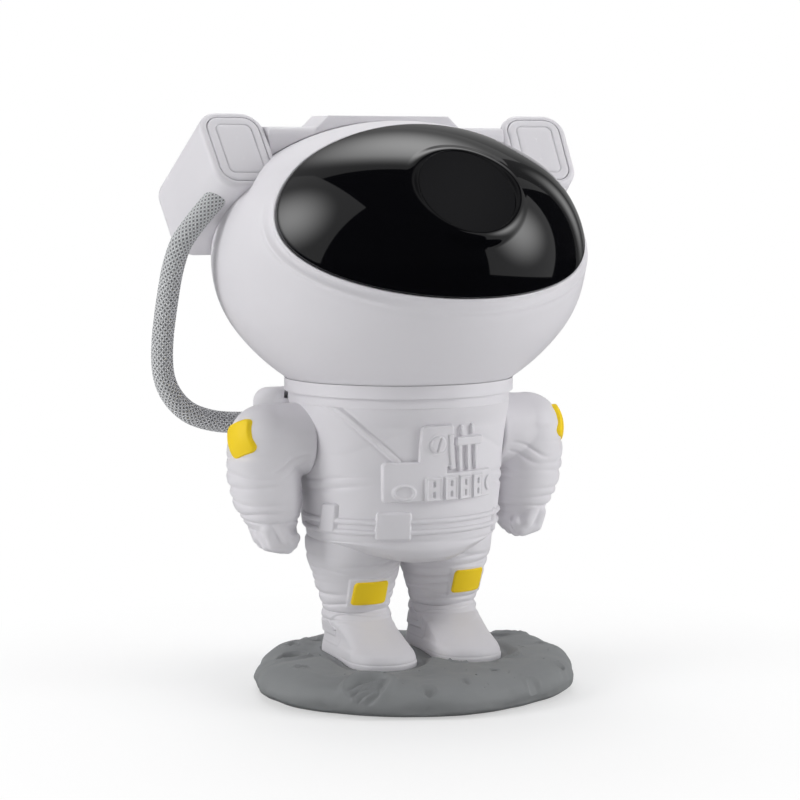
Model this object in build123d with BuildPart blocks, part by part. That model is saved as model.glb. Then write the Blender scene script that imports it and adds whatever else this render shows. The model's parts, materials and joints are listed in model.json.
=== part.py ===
from build123d import *
import os
from math import asin, atan2, cos, degrees, hypot, pi, radians, sin, sqrt, tan

# Star projector in the shape of an astronaut on a moon base.
# Millimetres, +Z up, the figure faces -Y and its right hand is at -X.
# The origin is the centre of the pad that the base stands on.

os.makedirs("parts", exist_ok=True)

# ---- driving dimensions ------------------------------------------------------

RUNNING_GAP = 0.05        # radial clearance of a shaft in its bore
SEAT_GAP = 0.1            # between two shells that are glued or clipped together
MOVING_GAP = 0.3          # between curved faces of two bodies

# Moon base
BASE_HALF_X = 64.3
BASE_HALF_Y = 60.0
BASE_EDGE_Z = 5.5         # height of the widest line
BASE_SHOULDER_Z = 10.0
BASE_TOP_Z = 13.0
BASE_FOOT_IN = 3.3        # how far each line is inside the widest one
BASE_SHOULDER_IN = 4.0
BASE_TOP_IN = 12.3
BASE_WALL = 3.2
BASE_SKIRT_Z = 0.6        # the skirt stays this far off the table
PAD_T = 1.0
PAD_HALF_X = 55.0
PAD_HALF_Y = 51.0
COVER_T = 2.0
COVER_GAP = 0.3
BALLAST_T = 4.0
BALLAST_HALF_X = 31.0
BALLAST_HALF_Y = 27.0
BASE_BOSS_R = 4.0
BASE_BOSS_X = 38.0
BASE_BOSS_Y = 31.0
SCREW_R = 1.4             # shank of every self-tapping screw
SCREW_HEAD_R = 2.8
SCREW_HEAD_T = 1.8
CRATERS = (               # place on the base, radius of the rim
    (-37.5, -36.5, 8.5),
    (5.5, -30.0, 3.6),
    (33.0, -25.5, 4.0),
    (24.0, -47.5, 4.2),
    (-17.0, -47.0, 3.0),
    (50.0, 17.0, 6.5),
    (-47.0, 14.0, 6.0),
    (0.0, 44.0, 7.0),
)
CRATER_DEPTH = 1.5

# Boots and legs
BOOT_X = 18.4
BOOT_RECESS = 1.6
BOOT_TOE_R = 12.2
BOOT_TOE_Y = -7.8
BOOT_HEEL_R = 12.0
BOOT_HEEL_Y = 18.0
SOLE_T = 4.6
BOOT_TOP_Z = 28.0
LEG_X = 19.3
LEG_Y = 15.0
LEG_ANKLE_R = 13.2
LEG_KNEE_R = 17.0
LEG_KNEE_Z = 44.0
LEG_THIGH_R = 19.8
LEG_THIGH_Z = 52.0
LEG_HIP_R = 20.5
LEG_HALF_X = 19.1         # widest, so that the legs don't quite touch
LEG_WALL = 2.6
LEG_POST_R = 4.0
KNEE_PATCH_T = 1.0
KNEE_PATCH_W = 15.0
KNEE_PATCH_H = 9.6
KNEE_PATCHES = ((-19.4, 38.0), (23.0, 40.0))
STRAP_T = 1.2             # boot straps

# Torso
HIP_Z = 57.0
HIP_HALF_X = 38.2
HIP_HALF_Y = 32.0
HIP_Y = 13.5
WAIST_Z = 72.0
WAIST_HALF_X = 40.0
WAIST_HALF_Y = 33.0
WAIST_Y = 13.0
BREAST_Z = 90.0
BREAST_HALF_X = 41.5
BREAST_HALF_Y = 32.8
BREAST_Y = 12.5
CHEST_Z = 104.0
CHEST_HALF_X = 43.0
CHEST_HALF_Y = 35.6
CHEST_Y = 12.8
TORSO_TOP_Z = 113.0
TORSO_WALL = 2.4
COLLAR_R = 45.4
COLLAR_NECK_R = 44.0
COLLAR_BAND_Z = 116.8
COLLAR_BORE_R = 36.0
BELT_LOW_Z = 62.6
BELT_PITCH_Z = 4.4
BELT_CORD_H = 2.6
BELT_T = 1.3
LOOP_T = 2.2
PANEL_T = 1.8
PANEL_DETAIL_T = 1.2
CHEST_STRAP_T = 0.9

# Backpack
PACK_HALF_X = 46.5
PACK_FRONT_Y = 30.6
PACK_REAR_Y = 60.5
PACK_LOW_Z = 66.0
PACK_TOP_Z = 115.5
PACK_PANEL_Z = 88.0       # middle of the buttons, their cover and their board
PACK_WALL = 2.4
PACK_REAR_WALL = 4.0
PACK_ROUND = 6.0
PACK_COVER_W = 68.0
PACK_COVER_H = 36.0
PACK_COVER_T = 2.0
COVER_SCREW_R = 1.7       # heads of the small screws in the cover
PACK_WINDOW_W = 58.0
PACK_WINDOW_H = 26.0
BOARD_T = 1.6
POWER_BOARD_W = 66.0
POWER_BOARD_H = 34.0
POWER_BOARD_Y = 52.0      # face of the board that looks at the torso
BUTTON_PITCH = 14.0
BUTTON_R = 4.5
BUTTON_GAP = 0.2
BUTTON_FLANGE_R = 5.6
BUTTON_FLANGE_T = 0.9
BUTTON_PROUD = 1.0
BUTTON_TRAVEL = 0.8
SWITCH_H = 2.4
SWITCH_W = 6.0
USB_W = 9.0
USB_H = 3.2
USB_DEPTH = 7.5

# Arms
SHOULDER_Y = 15.5
SHOULDER_Z = 98.5
SHOULDER_X = 57.0
SHOULDER_R = 14.5
SHOULDER_FACE_X = 40.2    # flat on the torso that the arm turns against
SHOULDER_BOSS_T = 4.2
PIN_R = 4.0
PIN_HEAD_R = 6.5
PIN_HEAD_T = 2.4
PIN_IN_ARM = 13.0
PATCH_T = 1.0

# Head: a revolved helmet of three tangent arcs about a vertical axis
HEAD_Y = 15.5
SIDE_ARC_X = 27.5
SIDE_ARC_Z = 168.4
SIDE_ARC_R = 46.5
TILT_Z = 189.0            # centre of the helmet's spherical underside
CROWN_ARC_Z = 122.5       # centre of the arc over the crown
HELMET_WALL = 2.6
HELMET_SPLIT_Y = 40.5
VISOR_TILT = 24.0         # the visor looks up by this angle
VISOR_HALF_X = 64.7
VISOR_HALF_Z = 40.8
VISOR_GAP = 0.5
VISOR_T = 2.0
VISOR_PROUD = 0.3
GASKET_T = 1.5
GASKET_OVERLAP = 4.0

# Neck
DISH_R = 35.4
DISH_T = 3.5
HUB_R = 12.0
STEM_R = 6.0
BUSH_FLANGE_R = 10.0
BUSH_FLANGE_T = 1.0
BRIDGE_T = 3.0
BRIDGE_Z = 98.0
WASHER_R = 9.0
WASHER_T = 1.4
PLATE_R = 16.0
PLATE_T = 1.5
HOLDER_R = 18.0
HOLDER_T = 4.0
MAGNET_R = 4.0
MAGNET_T = 3.0
MAGNET_RING_R = 9.5

# Pods, cross bar and hose
POD_X = 64.8
POD_FACE_Y = 20.0
POD_FACE_Z = 211.4
POD_TILT = 36.0
POD_YAW = 7.0
POD_W = 28.0
POD_H = 35.5
POD_D = 50.0
POD_CORNER = 9.0
POD_BACK_ROUND = 5.0
POD_WALL = 2.2
POD_BOSS_R = 4.0
POD_SCREW_TURN = 21.0     # degrees back from the side of the helmet
POD_SCREW_RISE = 33.0
CAP_MARGIN = 2.6
CAP_T = 1.8
CAP_GROOVE_MARGIN = 3.0
CAP_GROOVE = 0.6
BAR_Y = 33.0
BAR_D = 18.0
BAR_LOW_Z = 206.0
BAR_TOP_Z = 220.0
CREST_HALF_X = 26.0
CREST_TOP_Z = 224.5
HOSE_R = 4.3
HOSE_LOWER = (
    (-41.5, 45.0, 102.5), (-56.0, 45.0, 102.5), (-69.0, 44.6, 103.8), (-81.0, 42.8, 108.6),
    (-90.0, 39.8, 120.0), (-91.8, 36.6, 135.0), (-91.2, 34.4, 144.5),
)
HOSE_UPPER = (
    (-91.2, 34.4, 144.5), (-90.6, 32.2, 154.0), (-89.2, 28.8, 167.5), (-85.8, 24.8, 179.5),
    (-72.3, 19.8, 195.2),
)

# Optics, along the lens axis: 0 is the lens face and minus is into the head
LENS_Y = -46.0
LENS_Z = 195.6
LENS_TILT = 39.5
LENS_R = 19.0
LENS_GAP = 0.15
LENS_T = 2.0
BARREL_R = 18.6
BARREL_BORE_R = 16.6
BARREL_BACK = 18.0
BRACKET_T = 2.0
OBJECTIVE_AT = -12.0
OBJECTIVE_T = 5.0
WHEEL_FRONT = -23.0
WHEEL_T = 3.0
GEAR_MODULE = 0.8
WHEEL_TEETH = 60
PINION_TEETH = 16
GRATING_TEETH = 28
TOOTH_BACKLASH = 0.22     # taken off each flank
WHEEL_V = 16.0
PINION_ANGLE = -50.0
GRATING_ANGLE = -130.0
AXLE_R = 2.0
AXLE_SHOULDER_R = 3.4
AXLE_HEAD_R = 3.5
AXLE_HEAD_T = 1.0
AXLE_PLAY = 0.15
MOTOR_R = 8.0
MOTOR_L = 15.0
MOTOR_SHAFT_R = 1.0
LASER_R = 3.0
LASER_L = 17.0
LASER_OFFSET = 7.4        # laser axis from the grating's own axis
FRAME_FRONT = -45.5
FRAME_T = 2.5
FRAME_W = 66.0
FRAME_H = 62.0
BEAM_H = 12.0
BEAM_V = -16.0
POST_R = 2.2
POST_PLACES = ((-27.0, 23.0), (27.0, 23.0), (0.0, -24.0))
HEATSINK_R = 11.0
HEATSINK_T = 9.0
LED_BOARD_R = 9.0
LED_R = 3.0
LED_H = 1.6
CONDENSER_T = 4.0
HEAD_BOARD_W = 50.0
HEAD_BOARD_H = 42.0
HEAD_BOARD_AT = -56.0

# ---- places worked out from them --------------------------------------------

COVER_LOW_Z = PAD_T
COVER_TOP_Z = COVER_LOW_Z + COVER_T
BALLAST_TOP_Z = COVER_TOP_Z + BALLAST_T
BASE_CEILING_Z = BASE_TOP_Z - BASE_WALL
SOLE_Z = BASE_TOP_Z - BOOT_RECESS
CAVITY_HALF_X = BASE_HALF_X - BASE_FOOT_IN - BASE_WALL
CAVITY_HALF_Y = BASE_HALF_Y - BASE_FOOT_IN - BASE_WALL
HELMET_R = SIDE_ARC_X + SIDE_ARC_R
UNDER_R = hypot(SIDE_ARC_X, TILT_Z - SIDE_ARC_Z) + SIDE_ARC_R
CROWN_R = hypot(SIDE_ARC_X, SIDE_ARC_Z - CROWN_ARC_Z) + SIDE_ARC_R
SOCKET_R = UNDER_R + MOVING_GAP
BRIDGE_TOP_Z = BRIDGE_Z + BRIDGE_T
POD_CAP = (POD_W - 2 * CAP_MARGIN, POD_H - 2 * CAP_MARGIN, POD_CORNER - CAP_MARGIN)
PACK_MID_Z = (PACK_LOW_Z + PACK_TOP_Z) / 2
WHEEL_R = GEAR_MODULE * WHEEL_TEETH / 2
PINION_R = GEAR_MODULE * PINION_TEETH / 2
GRATING_R = GEAR_MODULE * GRATING_TEETH / 2
PINION_U = (WHEEL_R + PINION_R) * cos(radians(PINION_ANGLE))
PINION_V = WHEEL_V + (WHEEL_R + PINION_R) * sin(radians(PINION_ANGLE))
GRATING_U = (WHEEL_R + GRATING_R) * cos(radians(GRATING_ANGLE))
GRATING_V = WHEEL_V + (WHEEL_R + GRATING_R) * sin(radians(GRATING_ANGLE))

HEAD_AXIS = Axis((0, HEAD_Y, 0), (0, 0, 1))
HEAD_SECTION = Plane(origin=(0, HEAD_Y, 0), x_dir=(1, 0, 0), z_dir=(0, -1, 0))
VISOR_PLANE = Plane(
    origin=(0, HEAD_Y, SIDE_ARC_Z),
    x_dir=(1, 0, 0),
    z_dir=(0, -cos(radians(VISOR_TILT)), sin(radians(VISOR_TILT))),
)
LENS_PLANE = Plane(
    origin=(0, LENS_Y, LENS_Z),
    x_dir=(1, 0, 0),
    z_dir=(0, -cos(radians(LENS_TILT)), sin(radians(LENS_TILT))),
)


# ---- shared shapes -----------------------------------------------------------

def stack_of_ellipses(sections):
    """Smooth closed solid through level ellipses: (z, x, y, half width, half depth)."""
    with BuildPart() as stack:
        for z, x, y, half_x, half_y in sections:
            with BuildSketch(Plane.XY.offset(z)):
                with Locations((x, y)):
                    Ellipse(half_x, half_y)
        loft()
    return stack.part


def helmet_solid(grow):
    """Helmet of revolution, offset outwards by grow."""
    side_r = SIDE_ARC_R + grow
    under_r = UNDER_R + grow
    crown_r = CROWN_R + grow
    under_angle = atan2(SIDE_ARC_Z - TILT_Z, SIDE_ARC_X)
    crown_angle = atan2(SIDE_ARC_Z - CROWN_ARC_Z, SIDE_ARC_X)

    def on_under(angle):
        return (under_r * cos(angle), TILT_Z + under_r * sin(angle))

    def on_crown(angle):
        return (crown_r * cos(angle), CROWN_ARC_Z + crown_r * sin(angle))

    with BuildPart() as helmet:
        with BuildSketch(HEAD_SECTION):
            with BuildLine():
                ThreePointArc(on_under(-pi / 2), on_under((under_angle - pi / 2) / 2), on_under(under_angle))
                ThreePointArc(
                    on_under(under_angle), (SIDE_ARC_X + side_r, SIDE_ARC_Z), on_crown(crown_angle)
                )
                ThreePointArc(on_crown(crown_angle), on_crown((crown_angle + pi / 2) / 2), on_crown(pi / 2))
                Line(on_crown(pi / 2), on_under(-pi / 2))
            make_face()
        revolve(axis=HEAD_AXIS)
    return helmet.part


def torso_solid(grow, low_z=HIP_Z, top_z=TORSO_TOP_Z):
    """Torso outline, offset sideways by grow, between two heights."""
    return stack_of_ellipses((
        (low_z, 0, HIP_Y, HIP_HALF_X + grow, HIP_HALF_Y + grow),
        (WAIST_Z, 0, WAIST_Y, WAIST_HALF_X + grow, WAIST_HALF_Y + grow),
        (BREAST_Z, 0, BREAST_Y, BREAST_HALF_X + grow, BREAST_HALF_Y + grow),
        (CHEST_Z, 0, CHEST_Y, CHEST_HALF_X + grow, CHEST_HALF_Y + grow),
        (top_z, 0, HEAD_Y, COLLAR_NECK_R + grow, COLLAR_NECK_R - 0.1 + grow),
    ))


def leg_solid(side, grow, low_z=BOOT_TOP_Z):
    """One leg, offset sideways by grow."""
    return stack_of_ellipses((
        (low_z, side * LEG_X, LEG_Y, LEG_ANKLE_R + grow, LEG_ANKLE_R + grow),
        (LEG_KNEE_Z, side * LEG_X, LEG_Y, LEG_KNEE_R + grow, LEG_KNEE_R + grow),
        (LEG_THIGH_Z, side * LEG_X, LEG_Y, LEG_HALF_X + grow, LEG_THIGH_R + grow),
        (HIP_Z, side * LEG_X, LEG_Y, LEG_HALF_X + grow, LEG_HIP_R + grow),
    ))


def cylinder_between(start, end, radius):
    """Round bar from one point to another."""
    along = Vector(*end) - Vector(*start)
    with BuildPart() as bar:
        with BuildSketch(Plane(origin=start, z_dir=along)):
            Circle(radius)
        extrude(amount=along.length)
    return bar.part


def optic_bar(u, v, back, front, radius):
    """Round bar along the lens axis, at (u, v) off it."""
    with BuildPart() as bar:
        with BuildSketch(LENS_PLANE.offset(back)):
            with Locations((u, v)):
                Circle(radius)
        extrude(amount=front - back)
    return bar.part


def save(name, piece):
    """Label one finished piece and write it to its own file."""
    piece.label = name
    export_step(piece, "parts/" + name + ".step")
    print(name, "volume", round(piece.volume), "solids", len(piece.solids()))


def side_name(side):
    """The figure's right hand is at -X."""
    return "right" if side < 0 else "left"


# ---- moon base ---------------------------------------------------------------

def base_bosses(radius, low_z, top_z):
    """Four upright bars at the base's corners."""
    with BuildPart() as bosses:
        with BuildSketch(Plane.XY.offset(low_z)):
            with GridLocations(2 * BASE_BOSS_X, 2 * BASE_BOSS_Y, 2, 2):
                Circle(radius)
        extrude(amount=top_z - low_z)
    return bosses.part


def sole_block(side, grow, low_z, high_z):
    """Footprint of one boot, swept upwards."""
    with BuildPart() as block:
        with BuildSketch(Plane.XY.offset(low_z)):
            with Locations((side * BOOT_X, BOOT_TOE_Y)):
                Circle(BOOT_TOE_R + grow)
            with Locations((side * BOOT_X, BOOT_HEEL_Y)):
                Circle(BOOT_HEEL_R + grow)
            make_hull()
        extrude(amount=high_z - low_z)
    return block.part


def base_height(x, y):
    """Height of the base's top at a point: level in the middle, sloping outside the shoulder."""
    reach = hypot(x / BASE_HALF_X, y / BASE_HALF_Y)
    slope = (reach - 0.81) / (0.94 - 0.81)
    return BASE_TOP_Z - max(0.0, slope) * (BASE_TOP_Z - BASE_SHOULDER_Z)


def make_base():
    outer = stack_of_ellipses((
        (BASE_SKIRT_Z, 0, 0, BASE_HALF_X - BASE_FOOT_IN, BASE_HALF_Y - BASE_FOOT_IN),
        (BASE_EDGE_Z, 0, 0, BASE_HALF_X, BASE_HALF_Y),
        (BASE_SHOULDER_Z, 0, 0, BASE_HALF_X - BASE_SHOULDER_IN, BASE_HALF_Y - BASE_SHOULDER_IN),
        (BASE_TOP_Z, 0, 0, BASE_HALF_X - BASE_TOP_IN, BASE_HALF_Y - BASE_TOP_IN),
    ))
    cavity = stack_of_ellipses((
        (0, 0, 0, CAVITY_HALF_X, CAVITY_HALF_Y),
        (BASE_EDGE_Z, 0, 0, CAVITY_HALF_X, CAVITY_HALF_Y),
        (BASE_CEILING_Z, 0, 0, CAVITY_HALF_X - 9.0, CAVITY_HALF_Y - 9.0),
    ))
    with BuildPart() as moon_base:
        add(outer)
        add(cavity, mode=Mode.SUBTRACT)
        add(base_bosses(BASE_BOSS_R, COVER_TOP_Z, BASE_CEILING_Z + 1))
        add(base_bosses(SCREW_R, COVER_TOP_Z - 1, BASE_CEILING_Z), mode=Mode.SUBTRACT)
        for side in (-1, 1):
            add(sole_block(side, SEAT_GAP, SOLE_Z, BASE_TOP_Z + 5), mode=Mode.SUBTRACT)
        for x, y, rim_r in CRATERS:
            ball_r = (rim_r**2 + CRATER_DEPTH**2) / (2 * CRATER_DEPTH)
            with Locations((x, y, base_height(x, y) - CRATER_DEPTH + ball_r)):
                Sphere(ball_r, mode=Mode.SUBTRACT)
        with Locations(*[(side * LEG_X, LEG_Y, SOLE_Z) for side in (-1, 1)]):
            Hole(SCREW_R + RUNNING_GAP, depth=BASE_WALL + 2)
    save("moon_base", moon_base.part)

    with BuildPart() as base_cover:
        with BuildSketch(Plane.XY.offset(COVER_LOW_Z)):
            Ellipse(CAVITY_HALF_X - COVER_GAP, CAVITY_HALF_Y - COVER_GAP)
        extrude(amount=COVER_T)
        with Locations(Plane(origin=(0, 0, COVER_LOW_Z), x_dir=(1, 0, 0), z_dir=(0, 0, -1))):
            with GridLocations(2 * BASE_BOSS_X, 2 * BASE_BOSS_Y, 2, 2):
                CounterBoreHole(SCREW_R + RUNNING_GAP, SCREW_HEAD_R + SEAT_GAP, COVER_T / 2)
    save("base_cover", base_cover.part)

    with BuildPart() as base_pad:
        with BuildSketch():
            Ellipse(PAD_HALF_X, PAD_HALF_Y)
        extrude(amount=PAD_T)
    save("base_pad", base_pad.part)

    with BuildPart() as ballast_plate:
        with BuildSketch(Plane.XY.offset(COVER_TOP_Z)):
            Ellipse(BALLAST_HALF_X, BALLAST_HALF_Y)
        extrude(amount=BALLAST_T)
    save("ballast_plate", ballast_plate.part)

    with BuildPart() as base_screws:
        add(base_bosses(SCREW_HEAD_R, COVER_LOW_Z, COVER_LOW_Z + COVER_T / 2))
        add(base_bosses(SCREW_R, COVER_LOW_Z, BASE_CEILING_Z - 1))
    save("base_screws", base_screws.part)


# ---- boots and legs ----------------------------------------------------------

def boot_upper(side, grow):
    """Boot above its sole, from the toe cap to the ankle."""
    top_of_sole = SOLE_Z + SOLE_T
    ankle_r = LEG_ANKLE_R + 0.2
    return stack_of_ellipses((
        (top_of_sole - 1, side * BOOT_X, 5.0, 11.4 + grow, 24.0 + grow),
        (top_of_sole + 4, side * BOOT_X, 6.4, 12.0 + grow, 21.8 + grow),
        (top_of_sole + 8, side * (BOOT_X + 0.4), 10.4, 12.8 + grow, 17.0 + grow),
        (BOOT_TOP_Z, side * LEG_X, LEG_Y, ankle_r + grow, ankle_r + 0.05 + grow),
    ))


def make_boots_and_legs():
    with BuildPart() as boots:
        for side in (-1, 1):
            add(sole_block(side, 0, SOLE_Z, SOLE_Z + SOLE_T))
            add(boot_upper(side, 0))
            with Locations((side * LEG_X, LEG_Y, BOOT_TOP_Z)):
                Hole(SCREW_R + RUNNING_GAP, depth=BOOT_TOP_Z)
    save("boots", boots.part)

    with BuildPart() as boot_straps:
        for side in (-1, 1):
            add(boot_upper(side, STRAP_T))
        with Locations((0, LEG_Y, BOOT_TOP_Z - 3.6)):
            Box(100, 80, 3.2, mode=Mode.INTERSECT)
        for side in (-1, 1):
            with Locations((side * (LEG_X + LEG_ANKLE_R + 1.0), LEG_Y - 4.0, BOOT_TOP_Z - 3.6)):
                Box(3.4, 5.0, 5.0)
            add(boot_upper(side, SEAT_GAP), mode=Mode.SUBTRACT)
    save("boot_straps", boot_straps.part)

    with BuildPart() as legs:
        for side in (-1, 1):
            add(leg_solid(side, 0))
            add(leg_solid(side, -LEG_WALL, BOOT_TOP_Z + LEG_WALL), mode=Mode.SUBTRACT)
            with BuildSketch(Plane.XY.offset(BOOT_TOP_Z)):
                with Locations((side * LEG_X, LEG_Y)):
                    Circle(LEG_POST_R)
            extrude(amount=HIP_Z - BOOT_TOP_Z)
            with Locations((side * LEG_X, LEG_Y, HIP_Z)):
                Hole(SCREW_R, depth=HIP_Z - BOOT_TOP_Z + 1)
    save("legs", legs.part)

    with BuildPart() as knee_patches:
        for side in (-1, 1):
            add(leg_solid(side, KNEE_PATCH_T))
        with BuildSketch(Plane.XZ.offset(-LEG_Y)):
            with Locations(*KNEE_PATCHES):
                RectangleRounded(KNEE_PATCH_W, KNEE_PATCH_H, 2)
        extrude(amount=40, mode=Mode.INTERSECT)
        for side in (-1, 1):
            add(leg_solid(side, SEAT_GAP), mode=Mode.SUBTRACT)
    save("knee_patches", knee_patches.part)


# ---- torso -------------------------------------------------------------------

def shoulder_bar(side, x_from, x_to, radius):
    """Round bar on the shoulder axis."""
    return cylinder_between(
        (side * x_from, SHOULDER_Y, SHOULDER_Z), (side * x_to, SHOULDER_Y, SHOULDER_Z), radius
    )


def make_torso():
    shoulder_inner_x = SHOULDER_FACE_X - SHOULDER_BOSS_T
    with BuildPart() as torso:
        add(torso_solid(0))
        add(torso_solid(-TORSO_WALL, HIP_Z + TORSO_WALL, TORSO_TOP_Z + 0.01), mode=Mode.SUBTRACT)
        for side in (-1, 1):
            add(shoulder_bar(side, shoulder_inner_x, SHOULDER_FACE_X, SHOULDER_R - MOVING_GAP))
            add(
                shoulder_bar(side, SHOULDER_FACE_X, SHOULDER_X, SHOULDER_R + 2 * MOVING_GAP),
                mode=Mode.SUBTRACT,
            )
            add(shoulder_bar(side, 30, SHOULDER_X, PIN_R), mode=Mode.SUBTRACT)
        with Locations(*[(side * LEG_X, LEG_Y, HIP_Z + TORSO_WALL) for side in (-1, 1)]):
            Hole(SCREW_R + RUNNING_GAP, depth=TORSO_WALL + 1)
    whole = torso.part
    strap = chest_strap()
    with BuildPart() as torso_front_shell:
        add(whole)
        split(bisect_by=Plane.XZ.offset(-SHOULDER_Y), keep=Keep.TOP)
        add(strap)
    save("torso_front_shell", torso_front_shell.part)

    with BuildPart() as torso_rear_shell:
        add(whole)
        split(bisect_by=Plane.XZ.offset(-SHOULDER_Y), keep=Keep.BOTTOM)
        hose_start = HOSE_LOWER[0]
        with Locations((0, PACK_FRONT_Y + 10, hose_start[2] - 12)):
            Box(16, 20, 8, mode=Mode.SUBTRACT)
    save("torso_rear_shell", torso_rear_shell.part)

    with BuildPart() as leg_screws:
        for head_z, tip_z in (
            (BASE_CEILING_Z - SCREW_HEAD_T, BOOT_TOP_Z + 8),
            (HIP_Z + TORSO_WALL, HIP_Z - 10),
        ):
            with BuildSketch(Plane.XY.offset(head_z)):
                with Locations((-LEG_X, LEG_Y), (LEG_X, LEG_Y)):
                    Circle(SCREW_HEAD_R)
            extrude(amount=SCREW_HEAD_T)
            with BuildSketch(Plane.XY.offset(head_z)):
                with Locations((-LEG_X, LEG_Y), (LEG_X, LEG_Y)):
                    Circle(SCREW_R)
            extrude(amount=tip_z - head_z)
    save("leg_screws", leg_screws.part)

    socket_z = TILT_Z - sqrt(SOCKET_R**2 - COLLAR_R**2)
    socket_bore_z = TILT_Z - sqrt(SOCKET_R**2 - COLLAR_BORE_R**2)
    middle_r = (COLLAR_R + COLLAR_BORE_R) / 2
    with BuildPart() as collar_ring:
        with BuildSketch(HEAD_SECTION):
            with BuildLine():
                Polyline(
                    (COLLAR_BORE_R, socket_bore_z), (COLLAR_BORE_R, TORSO_TOP_Z),
                    (COLLAR_NECK_R, TORSO_TOP_Z), (COLLAR_NECK_R, COLLAR_BAND_Z),
                    (COLLAR_R, COLLAR_BAND_Z), (COLLAR_R, socket_z),
                )
                ThreePointArc(
                    (COLLAR_R, socket_z),
                    (middle_r, TILT_Z - sqrt(SOCKET_R**2 - middle_r**2)),
                    (COLLAR_BORE_R, socket_bore_z),
                )
            make_face()
        revolve(axis=HEAD_AXIS)
    save("collar_ring", collar_ring.part)


def chest_relief(thickness, outline, inner=SEAT_GAP):
    """A raised piece that follows the front of the torso, cut to a flat outline."""
    block = extrude(outline, amount=60, dir=(0, -1, 0))
    with BuildPart() as relief:
        add(torso_solid(thickness))
        add(block, mode=Mode.INTERSECT)
        add(torso_solid(inner), mode=Mode.SUBTRACT)
    return relief.part


def make_chest_panel():
    with BuildSketch(Plane.XZ) as plate:
        with Locations((-1.5, 84.5)):
            RectangleRounded(48.0, 15.0, 1.6)
        with Locations((3.0, 97.5)):
            RectangleRounded(22.0, 15.0, 1.6)
    with BuildSketch(Plane.XZ) as details:
        with Locations((-1.5, 99.3)):
            Circle(3.2)
        with Locations((-17.0, 81.0)):
            Circle(3.6)
            Circle(2.4, mode=Mode.SUBTRACT)
        with Locations((4.5, 84.0)):
            with GridLocations(6.3, 1, 4, 1):
                RectangleRounded(5.0, 7.4, 0.8)
                Rectangle(1.0, 5.2, mode=Mode.SUBTRACT)
        with Locations((8.6, 95.5)):
            with GridLocations(4.0, 1, 3, 1):
                RectangleRounded(1.6, 10.5, 0.7)
        with Locations((8.6, 103.2)):
            with GridLocations(5.0, 1, 2, 1):
                RectangleRounded(2.4, 4.0, 0.7)
    panel = chest_relief(PANEL_T, plate.sketch)
    raised = chest_relief(PANEL_T + PANEL_DETAIL_T, details.sketch)
    with BuildPart() as chest_panel:
        add(panel)
        add(raised)
    save("chest_panel", chest_panel.part)


def chest_strap():
    """Diagonal strap that is moulded on the front of the torso."""
    with BuildSketch(Plane.XZ) as strap_outline:
        with BuildLine():
            Polyline(
                (-31.0, 112.0), (-28.4, 112.8), (-9.5, 93.6), (-12.4, 92.6), (-31.0, 112.0),
            )
        make_face()
    return chest_relief(CHEST_STRAP_T, strap_outline.sketch, -0.5)


def make_belt():
    with BuildPart() as belt:
        add(torso_solid(BELT_T))
        add(belt_bands(), mode=Mode.INTERSECT)
        add(belt_loops())
        add(torso_solid(SEAT_GAP), mode=Mode.SUBTRACT)
        with Locations((0, (PACK_FRONT_Y + PACK_REAR_Y) / 2, PACK_MID_Z)):
            Box(
                2 * PACK_HALF_X, PACK_REAR_Y - PACK_FRONT_Y + 2 * SEAT_GAP,
                PACK_TOP_Z - PACK_LOW_Z + 2 * SEAT_GAP, mode=Mode.SUBTRACT,
            )
    save("belt", belt.part)


def belt_loops():
    """Loops that hold the two belt cords together."""
    with BuildPart() as loops:
        add(torso_solid(LOOP_T))
        add(loop_blocks(), mode=Mode.INTERSECT)
        add(torso_solid(-0.5), mode=Mode.SUBTRACT)
    return loops.part


def belt_bands():
    """The two level slabs that the belt cords lie in."""
    with BuildPart() as bands:
        for low_z in (BELT_LOW_Z, BELT_LOW_Z + BELT_PITCH_Z):
            with BuildSketch(Plane.XY.offset(low_z)):
                Circle(100)
            extrude(amount=BELT_CORD_H)
    return bands.part


def loop_blocks():
    """Upright blocks that the belt loops are cut from: two in front and one on each hip."""
    height = BELT_PITCH_Z + BELT_CORD_H + 3.0
    with BuildPart() as blocks:
        with BuildSketch(Plane.XY.offset(BELT_LOW_Z - 1.5)):
            with Locations((-18.0, -22.0)):
                Rectangle(14.0, 24.0)
            with Locations((30.4, -12.0)):
                Rectangle(5.0, 24.0)
            with Locations((-WAIST_HALF_X, HIP_Y - 12), (WAIST_HALF_X, HIP_Y - 12)):
                Rectangle(14.0, 8.0)
        extrude(amount=height)
    return blocks.part


# ---- backpack ----------------------------------------------------------------

def board_corners(y):
    """Plane of the backpack's rear parts, looking out at +Y, with x to the right hand."""
    return Plane(origin=(0, y, PACK_PANEL_Z), x_dir=(-1, 0, 0), z_dir=(0, 1, 0))


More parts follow.
